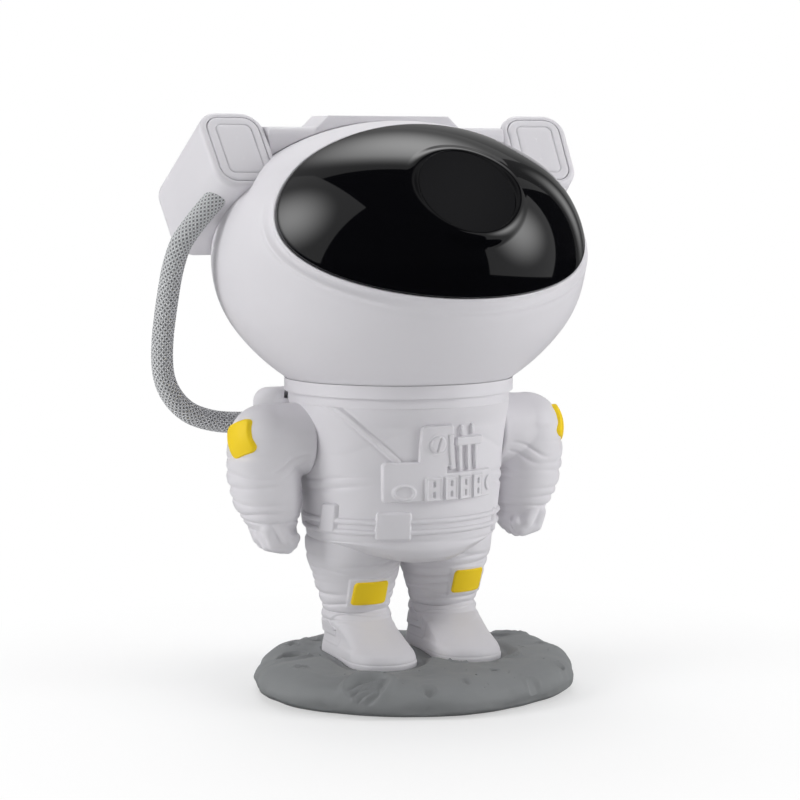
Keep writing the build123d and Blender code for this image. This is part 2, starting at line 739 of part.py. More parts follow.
def make_backpack():
    depth = PACK_REAR_Y - PACK_FRONT_Y
    height = PACK_TOP_Z - PACK_LOW_Z
    boss_x = POWER_BOARD_W / 2 - 2.5
    boss_z = POWER_BOARD_H / 2 - 2.5
    wall_y = PACK_REAR_Y - PACK_REAR_WALL
    ledge_y = PACK_REAR_Y - PACK_COVER_T
    screw_x = (PACK_COVER_W + PACK_WINDOW_W) / 4
    screw_z = (PACK_COVER_H + PACK_WINDOW_H) / 4
    board_top_y = POWER_BOARD_Y + BOARD_T
    with BuildPart() as backpack_shell:
        with Locations((0, PACK_FRONT_Y + depth / 2, PACK_MID_Z)):
            Box(2 * PACK_HALF_X, depth, height)
        fillet(backpack_shell.edges(), PACK_ROUND)
        cavity_front = PACK_FRONT_Y + PACK_WALL
        with Locations((0, (cavity_front + wall_y) / 2, PACK_MID_Z)):
            Box(
                2 * (PACK_HALF_X - PACK_WALL), wall_y - cavity_front, height - 2 * PACK_WALL,
                mode=Mode.SUBTRACT,
            )
        add(torso_solid(SEAT_GAP), mode=Mode.SUBTRACT)
        add(collar_clearance(), mode=Mode.SUBTRACT)
        with BuildSketch(board_corners(board_top_y)):
            with GridLocations(2 * boss_x, 2 * boss_z, 2, 2):
                Circle(2.4)
        extrude(amount=wall_y - board_top_y + 0.5)
        with BuildSketch(board_corners(ledge_y)):
            RectangleRounded(PACK_COVER_W, PACK_COVER_H, 4)
        extrude(amount=10, mode=Mode.SUBTRACT)
        with BuildSketch(board_corners(wall_y - 1)):
            RectangleRounded(PACK_WINDOW_W, PACK_WINDOW_H, 3)
        extrude(amount=20, mode=Mode.SUBTRACT)
        with BuildSketch(board_corners(board_top_y)):
            with GridLocations(2 * boss_x, 2 * boss_z, 2, 2):
                Circle(1.0)
        extrude(amount=3, mode=Mode.SUBTRACT)
        with BuildSketch(board_corners(ledge_y)):
            with GridLocations(2 * screw_x, 2 * screw_z, 2, 2):
                Circle(1.0)
        extrude(amount=-PACK_REAR_WALL, mode=Mode.SUBTRACT)
        with BuildSketch(Plane.XY.offset(PACK_LOW_Z - 1)):
            with Locations((0, POWER_BOARD_Y - USB_H / 2)):
                SlotOverall(USB_W + 2 * SEAT_GAP, USB_H + 2 * SEAT_GAP)
        extrude(amount=PACK_WALL + 2, mode=Mode.SUBTRACT)
        add(
            cylinder_between(
                (-PACK_HALF_X - 10, HOSE_LOWER[0][1], HOSE_LOWER[0][2]),
                (-PACK_HALF_X + PACK_WALL + 1, HOSE_LOWER[0][1], HOSE_LOWER[0][2]),
                HOSE_R + RUNNING_GAP,
            ),
            mode=Mode.SUBTRACT,
        )
    save("backpack_shell", backpack_shell.part)

    with BuildPart() as backpack_cover:
        with BuildSketch(board_corners(ledge_y)):
            RectangleRounded(PACK_COVER_W - 2 * SEAT_GAP, PACK_COVER_H - 2 * SEAT_GAP, 4 - SEAT_GAP)
            with GridLocations(BUTTON_PITCH, 1, 4, 1):
                Circle(BUTTON_R + BUTTON_GAP, mode=Mode.SUBTRACT)
            with GridLocations(2 * screw_x, 2 * screw_z, 2, 2):
                Circle(1.0 + RUNNING_GAP, mode=Mode.SUBTRACT)
        extrude(amount=PACK_COVER_T)
        with BuildSketch(board_corners(PACK_REAR_Y)):
            with GridLocations(2 * screw_x, 2 * screw_z, 2, 2):
                Circle(COVER_SCREW_R + SEAT_GAP)
        extrude(amount=-1.0, mode=Mode.SUBTRACT)
    save("backpack_cover", backpack_cover.part)

    with BuildPart() as cover_screws:
        with BuildSketch(board_corners(PACK_REAR_Y - 1.0)):
            with GridLocations(2 * screw_x, 2 * screw_z, 2, 2):
                Circle(COVER_SCREW_R)
        extrude(amount=0.9)
        with BuildSketch(board_corners(PACK_REAR_Y - 1.0)):
            with GridLocations(2 * screw_x, 2 * screw_z, 2, 2):
                Circle(1.0)
        extrude(amount=-PACK_REAR_WALL + 1.5)
    save("cover_screws", cover_screws.part)

    with BuildPart() as power_board:
        with BuildSketch(board_corners(POWER_BOARD_Y)):
            RectangleRounded(POWER_BOARD_W, POWER_BOARD_H, 2)
            with GridLocations(2 * boss_x, 2 * boss_z, 2, 2):
                Circle(1.1, mode=Mode.SUBTRACT)
        extrude(amount=BOARD_T)
        with BuildSketch(board_corners(board_top_y)):
            with GridLocations(BUTTON_PITCH, 1, 4, 1):
                RectangleRounded(SWITCH_W, SWITCH_W, 0.6)
        extrude(amount=SWITCH_H - 0.8)
        with BuildSketch(board_corners(board_top_y + SWITCH_H - 0.8)):
            with GridLocations(BUTTON_PITCH, 1, 4, 1):
                Circle(1.7)
        extrude(amount=0.8)
    save("power_board", power_board.part)

    with BuildPart() as usb_socket:
        with BuildSketch(Plane.XY.offset(PACK_LOW_Z + 0.4)):
            with Locations((0, POWER_BOARD_Y - USB_H / 2)):
                SlotOverall(USB_W, USB_H)
        extrude(amount=USB_DEPTH)
        with BuildSketch(Plane.XY.offset(PACK_LOW_Z + 0.4)):
            with Locations((0, POWER_BOARD_Y - USB_H / 2)):
                SlotOverall(USB_W - 0.7, USB_H - 0.7)
                Rectangle(USB_W - 2.6, 0.7, mode=Mode.SUBTRACT)
        extrude(amount=USB_DEPTH - 1.2, mode=Mode.SUBTRACT)
    save("usb_socket", usb_socket.part)

    stem_end_y = board_top_y + SWITCH_H + BUTTON_TRAVEL + MOVING_GAP
    flange_y = ledge_y - SEAT_GAP - BUTTON_FLANGE_T
    button_names = ("power_button", "star_button", "nebula_button", "timer_button")
    for count, button_name in enumerate(button_names):
        x = (count - 1.5) * BUTTON_PITCH
        with BuildPart() as button:
            with BuildSketch(board_corners(flange_y)):
                with Locations((-x, 0)):
                    Circle(BUTTON_FLANGE_R)
            extrude(amount=BUTTON_FLANGE_T)
            with BuildSketch(board_corners(flange_y)):
                with Locations((-x, 0)):
                    Circle(BUTTON_R)
            extrude(amount=PACK_REAR_Y + BUTTON_PROUD - flange_y)
            fillet(button.faces().sort_by(Axis.Y)[-1].edges(), 0.5)
            with BuildSketch(board_corners(stem_end_y)):
                with Locations((-x, 0)):
                    Circle(1.5)
            extrude(amount=flange_y - stem_end_y)
        save(button_name, button.part)


def collar_clearance():
    """Space that the collar band takes out of the backpack's top."""
    with BuildPart() as ring:
        with BuildSketch(Plane.XY.offset(TORSO_TOP_Z - SEAT_GAP)):
            with Locations((0, HEAD_Y)):
                Circle(COLLAR_R + SEAT_GAP)
        extrude(amount=20)
    return ring.part


# ---- arms --------------------------------------------------------------------

def arm_sleeve(side, grow):
    """Puffed sleeve from the shoulder to the cuff."""
    return stack_of_ellipses((
        (SHOULDER_Z + 2, side * SHOULDER_X, SHOULDER_Y, 14.3 + grow, 14.2 + grow),
        (88.0, side * 57.4, 15.2, 14.4 + grow, 14.0 + grow),
        (76.0, side * 56.6, 13.4, 13.6 + grow, 13.4 + grow),
        (66.5, side * 54.6, 10.2, 11.6 + grow, 11.4 + grow),
    ))


def shoulder_round(side, grow):
    """Ball and neck of the shoulder, offset by grow."""
    face_x = SHOULDER_FACE_X + MOVING_GAP
    with BuildPart() as ball:
        add(shoulder_bar(side, face_x, SHOULDER_X, SHOULDER_R + grow))
        with Locations((side * SHOULDER_X, SHOULDER_Y, SHOULDER_Z)):
            Sphere(SHOULDER_R + grow)
    return ball.part


def fist(side):
    """Closed hand below the cuff."""
    return stack_of_ellipses((
        (68.5, side * 54.8, 10.6, 10.4, 10.2),
        (62.0, side * 53.6, 8.6, 10.8, 10.6),
        (57.5, side * 52.8, 7.2, 8.8, 8.7),
        (54.8, side * 52.4, 6.6, 4.2, 4.1),
    ))


def make_arm(side):
    name = side_name(side)
    with BuildPart() as arm:
        add(shoulder_round(side, 0))
        add(arm_sleeve(side, 0))
        add(fist(side))
        add(
            shoulder_bar(side, 30, SHOULDER_FACE_X + PIN_IN_ARM + MOVING_GAP, PIN_R + RUNNING_GAP),
            mode=Mode.SUBTRACT,
        )
    save(name + "_arm", arm.part)

    with BuildPart() as patch:
        add(shoulder_round(side, PATCH_T))
        with BuildSketch(Plane.YZ):
            with Locations((SHOULDER_Y - 6.0, SHOULDER_Z + 4.5)):
                RectangleRounded(11.0, 17.0, 2, rotation=-20)
        extrude(amount=side * 90, mode=Mode.INTERSECT)
        with Locations((side * (SHOULDER_X + 50), SHOULDER_Y, SHOULDER_Z)):
            Box(100, 100, 100, mode=Mode.INTERSECT)
        add(shoulder_round(side, SEAT_GAP), mode=Mode.SUBTRACT)
        add(arm_sleeve(side, SEAT_GAP), mode=Mode.SUBTRACT)
    save(name + "_shoulder_patch", patch.part)


def make_shoulder_pins():
    head_x = SHOULDER_FACE_X - SHOULDER_BOSS_T
    with BuildPart() as shoulder_pins:
        for side in (-1, 1):
            add(shoulder_bar(side, head_x - PIN_HEAD_T, head_x, PIN_HEAD_R))
            add(shoulder_bar(side, head_x - 0.5, SHOULDER_FACE_X + PIN_IN_ARM, PIN_R))
    save("shoulder_pins", shoulder_pins.part)


# ---- neck --------------------------------------------------------------------

def make_neck():
    with BuildPart() as neck_bridge:
        with BuildSketch(HEAD_SECTION):
            with BuildLine():
                Polyline(
                    (STEM_R + RUNNING_GAP, BRIDGE_Z), (24.0, BRIDGE_Z), (26.4, 103.0), (36.0, 110.4),
                    (39.0, 112.4), (39.0, TORSO_TOP_Z), (36.6, TORSO_TOP_Z), (36.0, 112.4),
                    (25.4, 104.6), (22.2, BRIDGE_TOP_Z), (BUSH_FLANGE_R, BRIDGE_TOP_Z),
                    (BUSH_FLANGE_R, BRIDGE_TOP_Z + BUSH_FLANGE_T),
                    (STEM_R + RUNNING_GAP, BRIDGE_TOP_Z + BUSH_FLANGE_T),
                    (STEM_R + RUNNING_GAP, BRIDGE_Z),
                )
            make_face()
        revolve(axis=HEAD_AXIS)
        for side in (-1, 1):
            add(
                shoulder_bar(side, SHOULDER_FACE_X - SHOULDER_BOSS_T - MOVING_GAP, 60, SHOULDER_R + 0.5),
                mode=Mode.SUBTRACT,
            )
    save("neck_bridge", neck_bridge.part)

    hub_z = BRIDGE_TOP_Z + BUSH_FLANGE_T + SEAT_GAP
    dish_r = SOCKET_R + DISH_T
    rim_top_z = TILT_Z - sqrt(SOCKET_R**2 - DISH_R**2)
    rim_low_z = TILT_Z - sqrt(dish_r**2 - DISH_R**2)
    hub_top_z = TILT_Z - sqrt(dish_r**2 - HUB_R**2)
    half_r = DISH_R / 2
    low_half_r = (DISH_R + HUB_R) / 2
    plate_top_z = TILT_Z - SOCKET_R - 0.4
    stem_low_z = BRIDGE_Z - 0.2
    with BuildPart() as neck_turntable:
        with BuildSketch(HEAD_SECTION):
            with BuildLine():
                ThreePointArc(
                    (0, TILT_Z - SOCKET_R),
                    (half_r, TILT_Z - sqrt(SOCKET_R**2 - half_r**2)),
                    (DISH_R, rim_top_z),
                )
                Line((DISH_R, rim_top_z), (DISH_R, rim_low_z))
                ThreePointArc(
                    (DISH_R, rim_low_z),
                    (low_half_r, TILT_Z - sqrt(dish_r**2 - low_half_r**2)),
                    (HUB_R, hub_top_z),
                )
                Polyline(
                    (HUB_R, hub_top_z), (HUB_R, hub_z), (STEM_R, hub_z), (STEM_R, stem_low_z),
                    (0, stem_low_z), (0, TILT_Z - SOCKET_R),
                )
            make_face()
        revolve(axis=HEAD_AXIS)
        with BuildSketch(Plane.XY.offset(plate_top_z - PLATE_T)):
            with Locations((0, HEAD_Y)):
                Circle(PLATE_R + SEAT_GAP)
        extrude(amount=20, mode=Mode.SUBTRACT)
        with BuildSketch(Plane.XY.offset(stem_low_z)):
            with Locations((0, HEAD_Y)):
                Circle(SCREW_R)
        extrude(amount=6, mode=Mode.SUBTRACT)
    save("neck_turntable", neck_turntable.part)

    with BuildPart() as steel_plate:
        with BuildSketch(Plane.XY.offset(plate_top_z - PLATE_T)):
            with Locations((0, HEAD_Y)):
                Circle(PLATE_R)
        extrude(amount=PLATE_T)
    save("steel_plate", steel_plate.part)

    washer_z = stem_low_z - WASHER_T
    with BuildPart() as neck_screw:
        with BuildSketch(Plane.XY.offset(washer_z)):
            with Locations((0, HEAD_Y)):
                Circle(WASHER_R)
        extrude(amount=WASHER_T)
        with BuildSketch(Plane.XY.offset(washer_z - SCREW_HEAD_T)):
            with Locations((0, HEAD_Y)):
                Circle(SCREW_HEAD_R)
        extrude(amount=SCREW_HEAD_T)
        with BuildSketch(Plane.XY.offset(washer_z)):
            with Locations((0, HEAD_Y)):
                Circle(SCREW_R)
        extrude(amount=WASHER_T + 5.5)
    save("neck_screw", neck_screw.part)

    inner_r = UNDER_R - HELMET_WALL - SEAT_GAP
    holder_z = TILT_Z - sqrt(inner_r**2 - HOLDER_R**2)
    with BuildPart() as magnet_holder:
        with BuildSketch(Plane.XY.offset(holder_z)):
            with Locations((0, HEAD_Y)):
                Circle(HOLDER_R)
        extrude(amount=HOLDER_T)
        with BuildSketch(Plane.XY.offset(holder_z)):
            with Locations((0, HEAD_Y)):
                with PolarLocations(MAGNET_RING_R, 3):
                    Circle(MAGNET_R + SEAT_GAP)
        extrude(amount=MAGNET_T, mode=Mode.SUBTRACT)
    save("magnet_holder", magnet_holder.part)

    with BuildPart() as head_magnets:
        with BuildSketch(Plane.XY.offset(holder_z)):
            with Locations((0, HEAD_Y)):
                with PolarLocations(MAGNET_RING_R, 3):
                    Circle(MAGNET_R)
        extrude(amount=MAGNET_T)
    save("head_magnets", head_magnets.part)


# ---- helmet, visor, pods -----------------------------------------------------

def visor_bar(grow):
    """Endless oval bar along the visor's line of sight."""
    with BuildPart() as bar:
        with BuildSketch(VISOR_PLANE):
            Ellipse(VISOR_HALF_X + grow, VISOR_HALF_Z + grow)
        extrude(amount=100)
    return bar.part


def make_helmet():
    outer = helmet_solid(0)
    inner = helmet_solid(-HELMET_WALL)
    with BuildPart() as helmet:
        add(outer)
        add(inner, mode=Mode.SUBTRACT)
        add(visor_bar(0), mode=Mode.SUBTRACT)
        for side in (-1, 1):
            add(
                pod_screw_bar(side, SIDE_ARC_R - 10, SIDE_ARC_R + 5, SCREW_R + RUNNING_GAP),
                mode=Mode.SUBTRACT,
            )
    whole = helmet.part
    with BuildPart() as helmet_front_shell:
        add(whole)
        split(bisect_by=Plane.XZ.offset(-HELMET_SPLIT_Y), keep=Keep.TOP)
    save("helmet_front_shell", helmet_front_shell.part)
    with BuildPart() as helmet_rear_shell:
        add(whole)
        split(bisect_by=Plane.XZ.offset(-HELMET_SPLIT_Y), keep=Keep.BOTTOM)
    save("helmet_rear_shell", helmet_rear_shell.part)

    with BuildPart() as visor:
        add(helmet_solid(VISOR_PROUD))
        add(helmet_solid(VISOR_PROUD - VISOR_T), mode=Mode.SUBTRACT)
        add(visor_bar(-VISOR_GAP), mode=Mode.INTERSECT)
        add(optic_bar(0, 0, -LENS_R, LENS_R, LENS_R + LENS_GAP), mode=Mode.SUBTRACT)
    save("visor", visor.part)

    save("visor_gasket", gasket_band(0))


def gasket_band(grow):
    """Band behind the edge of the visor, offset by grow."""
    with BuildPart() as band:
        add(helmet_solid(-HELMET_WALL - SEAT_GAP))
        add(helmet_solid(-HELMET_WALL - SEAT_GAP - GASKET_T - grow), mode=Mode.SUBTRACT)
        add(visor_bar(GASKET_OVERLAP + grow), mode=Mode.INTERSECT)
        add(visor_bar(-GASKET_OVERLAP - grow), mode=Mode.SUBTRACT)
    return band.part


def pod_plane(side):
    """Face of one pod: it looks up and forwards, and a little inwards."""
    tilt = radians(POD_TILT)
    yaw = radians(POD_YAW)
    return Plane(
        origin=(side * POD_X, POD_FACE_Y, POD_FACE_Z),
        x_dir=(cos(yaw), -side * sin(yaw), 0),
        z_dir=(-side * sin(yaw) * cos(tilt), -cos(yaw) * cos(tilt), sin(tilt)),
    )


def pod_block(side, grow):
    """Whole pod as a rounded block."""
    with BuildPart() as block:
        with BuildSketch(pod_plane(side).offset(grow)):
            RectangleRounded(POD_W + 2 * grow, POD_H + 2 * grow, POD_CORNER + grow)
        extrude(amount=-POD_D - 2 * grow)
        depth_axis = Axis((0, 0, 0), pod_plane(side).z_dir)
        back = block.faces().sort_by(depth_axis)[0]
        fillet(back.edges(), POD_BACK_ROUND + grow)
        front = block.faces().sort_by(depth_axis)[-1]
        fillet(front.edges(), 1.5)
    return block.part


def pod_screw_bar(side, start, end, radius):
    """Bar square to the helmet's side, between two distances from the centre of the side arc."""
    turn = radians(POD_SCREW_TURN)
    rise = radians(POD_SCREW_RISE)

    def at(distance):
        reach = SIDE_ARC_X + distance * cos(rise)
        return (
            side * reach * cos(turn), HEAD_Y + reach * sin(turn), SIDE_ARC_Z + distance * sin(rise)
        )

    return cylinder_between(at(start), at(end), radius)


def make_pod(side):
    name = side_name(side)
    plane = pod_plane(side)
    with BuildPart() as pod:
        add(pod_block(side, 0))
        add(pod_block(side, -POD_WALL), mode=Mode.SUBTRACT)
        add(pod_screw_bar(side, SIDE_ARC_R - 2, SIDE_ARC_R + 20, POD_BOSS_R))
        add(pod_block(side, 0), mode=Mode.INTERSECT)
        add(pod_screw_bar(side, SIDE_ARC_R - 2, SIDE_ARC_R + 10, SCREW_R), mode=Mode.SUBTRACT)
        with BuildSketch(plane):
            RectangleRounded(*POD_CAP)
        extrude(amount=-CAP_T, mode=Mode.SUBTRACT)
        add(helmet_solid(SEAT_GAP), mode=Mode.SUBTRACT)
        if side < 0:
            first = Vector(*HOSE_UPPER[-1])
            direction = (Vector(*HOSE_UPPER[-2]) - first).normalized()
            outside = first + direction * 20
            inside = first - direction * 0.1
            add(
                cylinder_between(tuple(inside), tuple(outside), HOSE_R + RUNNING_GAP),
                mode=Mode.SUBTRACT,
            )
    save(name + "_pod", pod.part.solids().sort_by(SortBy.VOLUME)[-1])


def make_pod_caps():
    cap_w, cap_h, cap_r = POD_CAP
    groove_w = cap_w - 2 * CAP_GROOVE_MARGIN
    groove_h = cap_h - 2 * CAP_GROOVE_MARGIN
    groove_r = cap_r - CAP_GROOVE_MARGIN
    with BuildPart() as pod_caps:
        for side in (-1, 1):
            plane = pod_plane(side)
            with BuildSketch(plane.offset(-CAP_T)):
                RectangleRounded(cap_w - 2 * SEAT_GAP, cap_h - 2 * SEAT_GAP, cap_r - SEAT_GAP)
            extrude(amount=CAP_T)
            with BuildSketch(plane):
                RectangleRounded(groove_w, groove_h, groove_r)
                RectangleRounded(
                    groove_w - 2 * CAP_GROOVE, groove_h - 2 * CAP_GROOVE, groove_r - CAP_GROOVE,
                    mode=Mode.SUBTRACT,
                )
            extrude(amount=-CAP_GROOVE, mode=Mode.SUBTRACT)
        add(helmet_solid(SEAT_GAP), mode=Mode.SUBTRACT)
    save("pod_caps", pod_caps.part)


def make_pod_screws():
    with BuildPart() as pod_screws:
        for side in (-1, 1):
            head_at = SIDE_ARC_R - HELMET_WALL - SEAT_GAP
            add(pod_screw_bar(side, head_at - SCREW_HEAD_T, head_at, SCREW_HEAD_R))
            add(pod_screw_bar(side, head_at - 1, SIDE_ARC_R + 9, SCREW_R))
    save("pod_screws", pod_screws.part)


def make_cross_bar():
    mid_z = (BAR_LOW_Z + BAR_TOP_Z) / 2
    with BuildPart() as cross_bar:
        with Locations((0, BAR_Y, mid_z)):
            Box(2 * (POD_X - 4), BAR_D, BAR_TOP_Z - BAR_LOW_Z)
        fillet(cross_bar.edges().filter_by(Axis.X).group_by(Axis.Z)[-1], 3.0)
        with BuildSketch(Plane.XZ.offset(-(BAR_Y + BAR_D / 2))):
            with BuildLine():
                Polyline(
                    (-CREST_HALF_X - 6, BAR_TOP_Z - 4), (-CREST_HALF_X - 5, BAR_TOP_Z),
                    (-CREST_HALF_X, CREST_TOP_Z), (CREST_HALF_X, CREST_TOP_Z),
                    (CREST_HALF_X + 5, BAR_TOP_Z), (CREST_HALF_X + 6, BAR_TOP_Z - 4),
                    (-CREST_HALF_X - 6, BAR_TOP_Z - 4),
                )
            make_face()
        extrude(amount=BAR_D)
        add(helmet_solid(SEAT_GAP), mode=Mode.SUBTRACT)
        for side in (-1, 1):
            add(pod_block(side, SEAT_GAP), mode=Mode.SUBTRACT)
            with BuildSketch(pod_plane(side).offset(-3)):
                RectangleRounded(POD_W + 2 * SEAT_GAP, POD_H + 8, POD_CORNER)
            extrude(amount=20, mode=Mode.SUBTRACT)
    save("cross_bar", cross_bar.part.solids().sort_by(SortBy.VOLUME)[-1])


# ---- hose --------------------------------------------------------------------

def hose_tube(points):
    """Round tube along straight runs and tangent arcs, and its centre line's length."""
    runs = [(Vector(*b) - Vector(*a)) for a, b in zip(points, points[1:])]
    radii = []
    for before, after in zip(runs, runs[1:]):
        turn = radians(before.get_angle(after))
        radii.append(0.45 * min(before.length, after.length) / tan(turn / 2))
    with BuildPart() as tube:
        with BuildLine() as path:
            FilletPolyline(*points, radius=radii)
        with BuildSketch(Plane(origin=path.line @ 0, z_dir=path.line % 0)):
            Circle(HOSE_R)
        sweep(path=path.line)
    length = path.wires()[0].length
    print("hose radii", [round(r) for r in radii], "length", round(length, 1))
    print("hose volume over section x length", round(tube.part.volume / (pi * HOSE_R**2 * length), 4))
    return tube.part


def make_hose():
    save("hose_lower", hose_tube(HOSE_LOWER))
    save("hose_upper", hose_tube(HOSE_UPPER))


# ---- optics ------------------------------------------------------------------

def gear_outline(teeth, phase):
    """Corner points of a spur gear with straight flanks, turned by phase degrees."""
    pitch_r = GEAR_MODULE * teeth / 2
    root_r = pitch_r - 1.15 * GEAR_MODULE
    tip_r = pitch_r + 0.85 * GEAR_MODULE
    half_pitch_tooth = GEAR_MODULE * pi / 4 - TOOTH_BACKLASH
    slope = tan(radians(20))
    points = []
    for tooth in range(teeth):
        middle = radians(phase) + 2 * pi * tooth / teeth
        root_half = (half_pitch_tooth + slope * (pitch_r - root_r)) / root_r
        tip_half = (half_pitch_tooth - slope * (tip_r - pitch_r)) / tip_r
        for radius, turn in (
            (root_r, -root_half), (tip_r, -tip_half), (tip_r, tip_half), (root_r, root_half),
        ):
            points.append((radius * cos(middle + turn), radius * sin(middle + turn)))
    return points


def gear_blank(u, v, teeth, phase):
    """Toothed wheel on the lens axis's plane."""
    with BuildPart() as gear:
        with BuildSketch(LENS_PLANE.offset(WHEEL_FRONT - WHEEL_T)):
            with Locations((u, v)):
                Polygon(*gear_outline(teeth, phase), align=None)
        extrude(amount=WHEEL_T)
    return gear.part


def make_wheels():
    half_tooth = 180.0 / PINION_TEETH
    with BuildPart() as nebula_wheel:
        add(gear_blank(0, WHEEL_V, WHEEL_TEETH, PINION_ANGLE))
        add(optic_bar(0, WHEEL_V, -30, -20, AXLE_R + RUNNING_GAP), mode=Mode.SUBTRACT)
        with BuildSketch(LENS_PLANE.offset(WHEEL_FRONT)):
            with Locations((0, WHEEL_V)):
                Circle(WHEEL_R - 2.4)
                Circle(5.5, mode=Mode.SUBTRACT)
        extrude(amount=-0.9, mode=Mode.SUBTRACT)
    save("nebula_wheel", nebula_wheel.part)

    with BuildPart() as motor_pinion:
        add(gear_blank(PINION_U, PINION_V, PINION_TEETH, PINION_ANGLE + 180 + half_tooth))
        add(optic_bar(PINION_U, PINION_V, FRAME_FRONT + MOTOR_L, WHEEL_FRONT, MOTOR_SHAFT_R))
    save("motor_pinion", motor_pinion.part)

    # the wheel's teeth fall at this part of a pitch on the grating's line
    wheel_pitch = 360.0 / WHEEL_TEETH
    offset = ((GRATING_ANGLE - PINION_ANGLE) % wheel_pitch) / wheel_pitch
    grating_pitch = 360.0 / GRATING_TEETH
    phase = GRATING_ANGLE + 180 + (0.5 + offset) * grating_pitch
    with BuildPart() as grating_wheel:
        add(gear_blank(GRATING_U, GRATING_V, GRATING_TEETH, phase))
        add(
            optic_bar(GRATING_U, GRATING_V, -30, -20, AXLE_R + RUNNING_GAP),
            mode=Mode.SUBTRACT,
        )
    save("grating_wheel", grating_wheel.part)

    wheel_back = WHEEL_FRONT - WHEEL_T
    axle_front = WHEEL_FRONT + AXLE_PLAY
    with BuildPart() as wheel_axles:
        for u, v in ((0, WHEEL_V), (GRATING_U, GRATING_V)):
            add(optic_bar(u, v, FRAME_FRONT, wheel_back - AXLE_PLAY, AXLE_SHOULDER_R))
            add(optic_bar(u, v, wheel_back - 1, axle_front, AXLE_R))
            add(optic_bar(u, v, axle_front, axle_front + AXLE_HEAD_T, AXLE_HEAD_R))
    save("wheel_axles", wheel_axles.part)


def laser_place():
    """The laser looks through the grating beside its axle, on the side away from the lens."""
    angle = radians(GRATING_ANGLE)
    return GRATING_U + LASER_OFFSET * cos(angle), GRATING_V + LASER_OFFSET * sin(angle)


def make_projector():
    frame_back = FRAME_FRONT - FRAME_T
    with BuildPart() as projector_frame:
        with BuildSketch(LENS_PLANE.offset(frame_back)):
            with Locations((0, 4)):
                RectangleRounded(FRAME_W, FRAME_H, 6)
            with Locations((0, BEAM_V)):
                Rectangle(2 * HELMET_R, BEAM_H)
        extrude(amount=FRAME_T)
        add(helmet_solid(-HELMET_WALL - SEAT_GAP), mode=Mode.INTERSECT)
        add(gasket_band(SEAT_GAP), mode=Mode.SUBTRACT)
        for u, v in POST_PLACES:
            add(optic_bar(u, v, frame_back, -BARREL_BACK - BRACKET_T, POST_R))
        with BuildSketch(LENS_PLANE.offset(HEAD_BOARD_AT)):
            with GridLocations(HEAD_BOARD_W - 6, HEAD_BOARD_H - 6, 2, 2):
                Circle(2.2)
        extrude(amount=frame_back - HEAD_BOARD_AT + 0.5)
    save("projector_frame", projector_frame.part)

    with BuildPart() as lens_barrel:
        with BuildSketch(LENS_PLANE.offset(-BARREL_BACK - BRACKET_T)):
            for u, v in POST_PLACES:
                with Locations((u, v)):
                    Circle(POST_R + 2)
            Circle(BARREL_R + 1.5)
            make_hull()
            Circle(BARREL_BORE_R, mode=Mode.SUBTRACT)
        extrude(amount=BRACKET_T)
        with BuildSketch(LENS_PLANE.offset(-BARREL_BACK)):
            Circle(BARREL_R)
            Circle(BARREL_BORE_R, mode=Mode.SUBTRACT)
        extrude(amount=BARREL_BACK - LENS_T)
    save("lens_barrel", lens_barrel.part)

    save("projection_lens", optic_bar(0, 0, -LENS_T, 0, LENS_R))

    with BuildPart() as objective_lens:
        with BuildSketch(LENS_PLANE.offset(OBJECTIVE_AT)):
            Circle(BARREL_BORE_R - SEAT_GAP)
        extrude(amount=OBJECTIVE_T)
        fillet(objective_lens.edges(), 1.6)
    save("objective_lens", objective_lens.part)

    heatsink_front = FRAME_FRONT + HEATSINK_T
    with BuildPart() as heatsink:
        with BuildSketch(LENS_PLANE.offset(FRAME_FRONT)):
            Circle(HEATSINK_R)
            with GridLocations(4.4, 1, 5, 1):
                Rectangle(1.6, 2 * HEATSINK_R + 2, mode=Mode.SUBTRACT)
        extrude(amount=HEATSINK_T - 2)
        with BuildSketch(LENS_PLANE.offset(heatsink_front - 2)):
            Circle(HEATSINK_R)
        extrude(amount=2)
    save("heatsink", heatsink.part)

    led_front = heatsink_front + BOARD_T
    with BuildPart() as led_board:
        add(optic_bar(0, 0, heatsink_front, led_front, LED_BOARD_R))
        add(optic_bar(0, 0, led_front, led_front + LED_H, LED_R))
    save("led_board", led_board.part)

    condenser_back = led_front + LED_H + 0.4
    with BuildPart() as condenser_lens:
        add(optic_bar(0, 0, heatsink_front, condenser_back + CONDENSER_T, HEATSINK_R))
        fillet(condenser_lens.edges().sort_by(Axis((0, 0, 0), LENS_PLANE.z_dir))[-1], 1.5)
        add(optic_bar(0, 0, heatsink_front, condenser_back, LED_BOARD_R + SEAT_GAP), mode=Mode.SUBTRACT)
    save("condenser_lens", condenser_lens.part)

    save("gear_motor", optic_bar(PINION_U, PINION_V, FRAME_FRONT, FRAME_FRONT + MOTOR_L, MOTOR_R))
    laser_u, laser_v = laser_place()
    save("laser_module", optic_bar(laser_u, laser_v, FRAME_FRONT, FRAME_FRONT + LASER_L, LASER_R))

    with BuildPart() as head_board:
        with BuildSketch(LENS_PLANE.offset(HEAD_BOARD_AT - BOARD_T)):
            RectangleRounded(HEAD_BOARD_W, HEAD_BOARD_H, 2)
        extrude(amount=BOARD_T)
    save("head_board", head_board.part)


make_base()
make_boots_and_legs()
make_torso()
make_chest_panel()
make_belt()
make_backpack()
for figure_side in (-1, 1):
    make_arm(figure_side)
make_shoulder_pins()
make_neck()
make_helmet()
for figure_side in (-1, 1):
    make_pod(figure_side)
make_pod_caps()
make_pod_screws()
make_cross_bar()
make_hose()
make_wheels()
make_projector()
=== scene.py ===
# %% [markdown]
# # Astronaut star projector
# This notebook dresses a finished CAD model of a star projector: an astronaut
# with a big helmet and a black visor, who stands on a piece of moon.
# The CAD model gives every place and size. Here each visible shell gets its
# folds, soft edges and finish, and rides on the CAD body that it belongs to.

# %% Load the model
import math

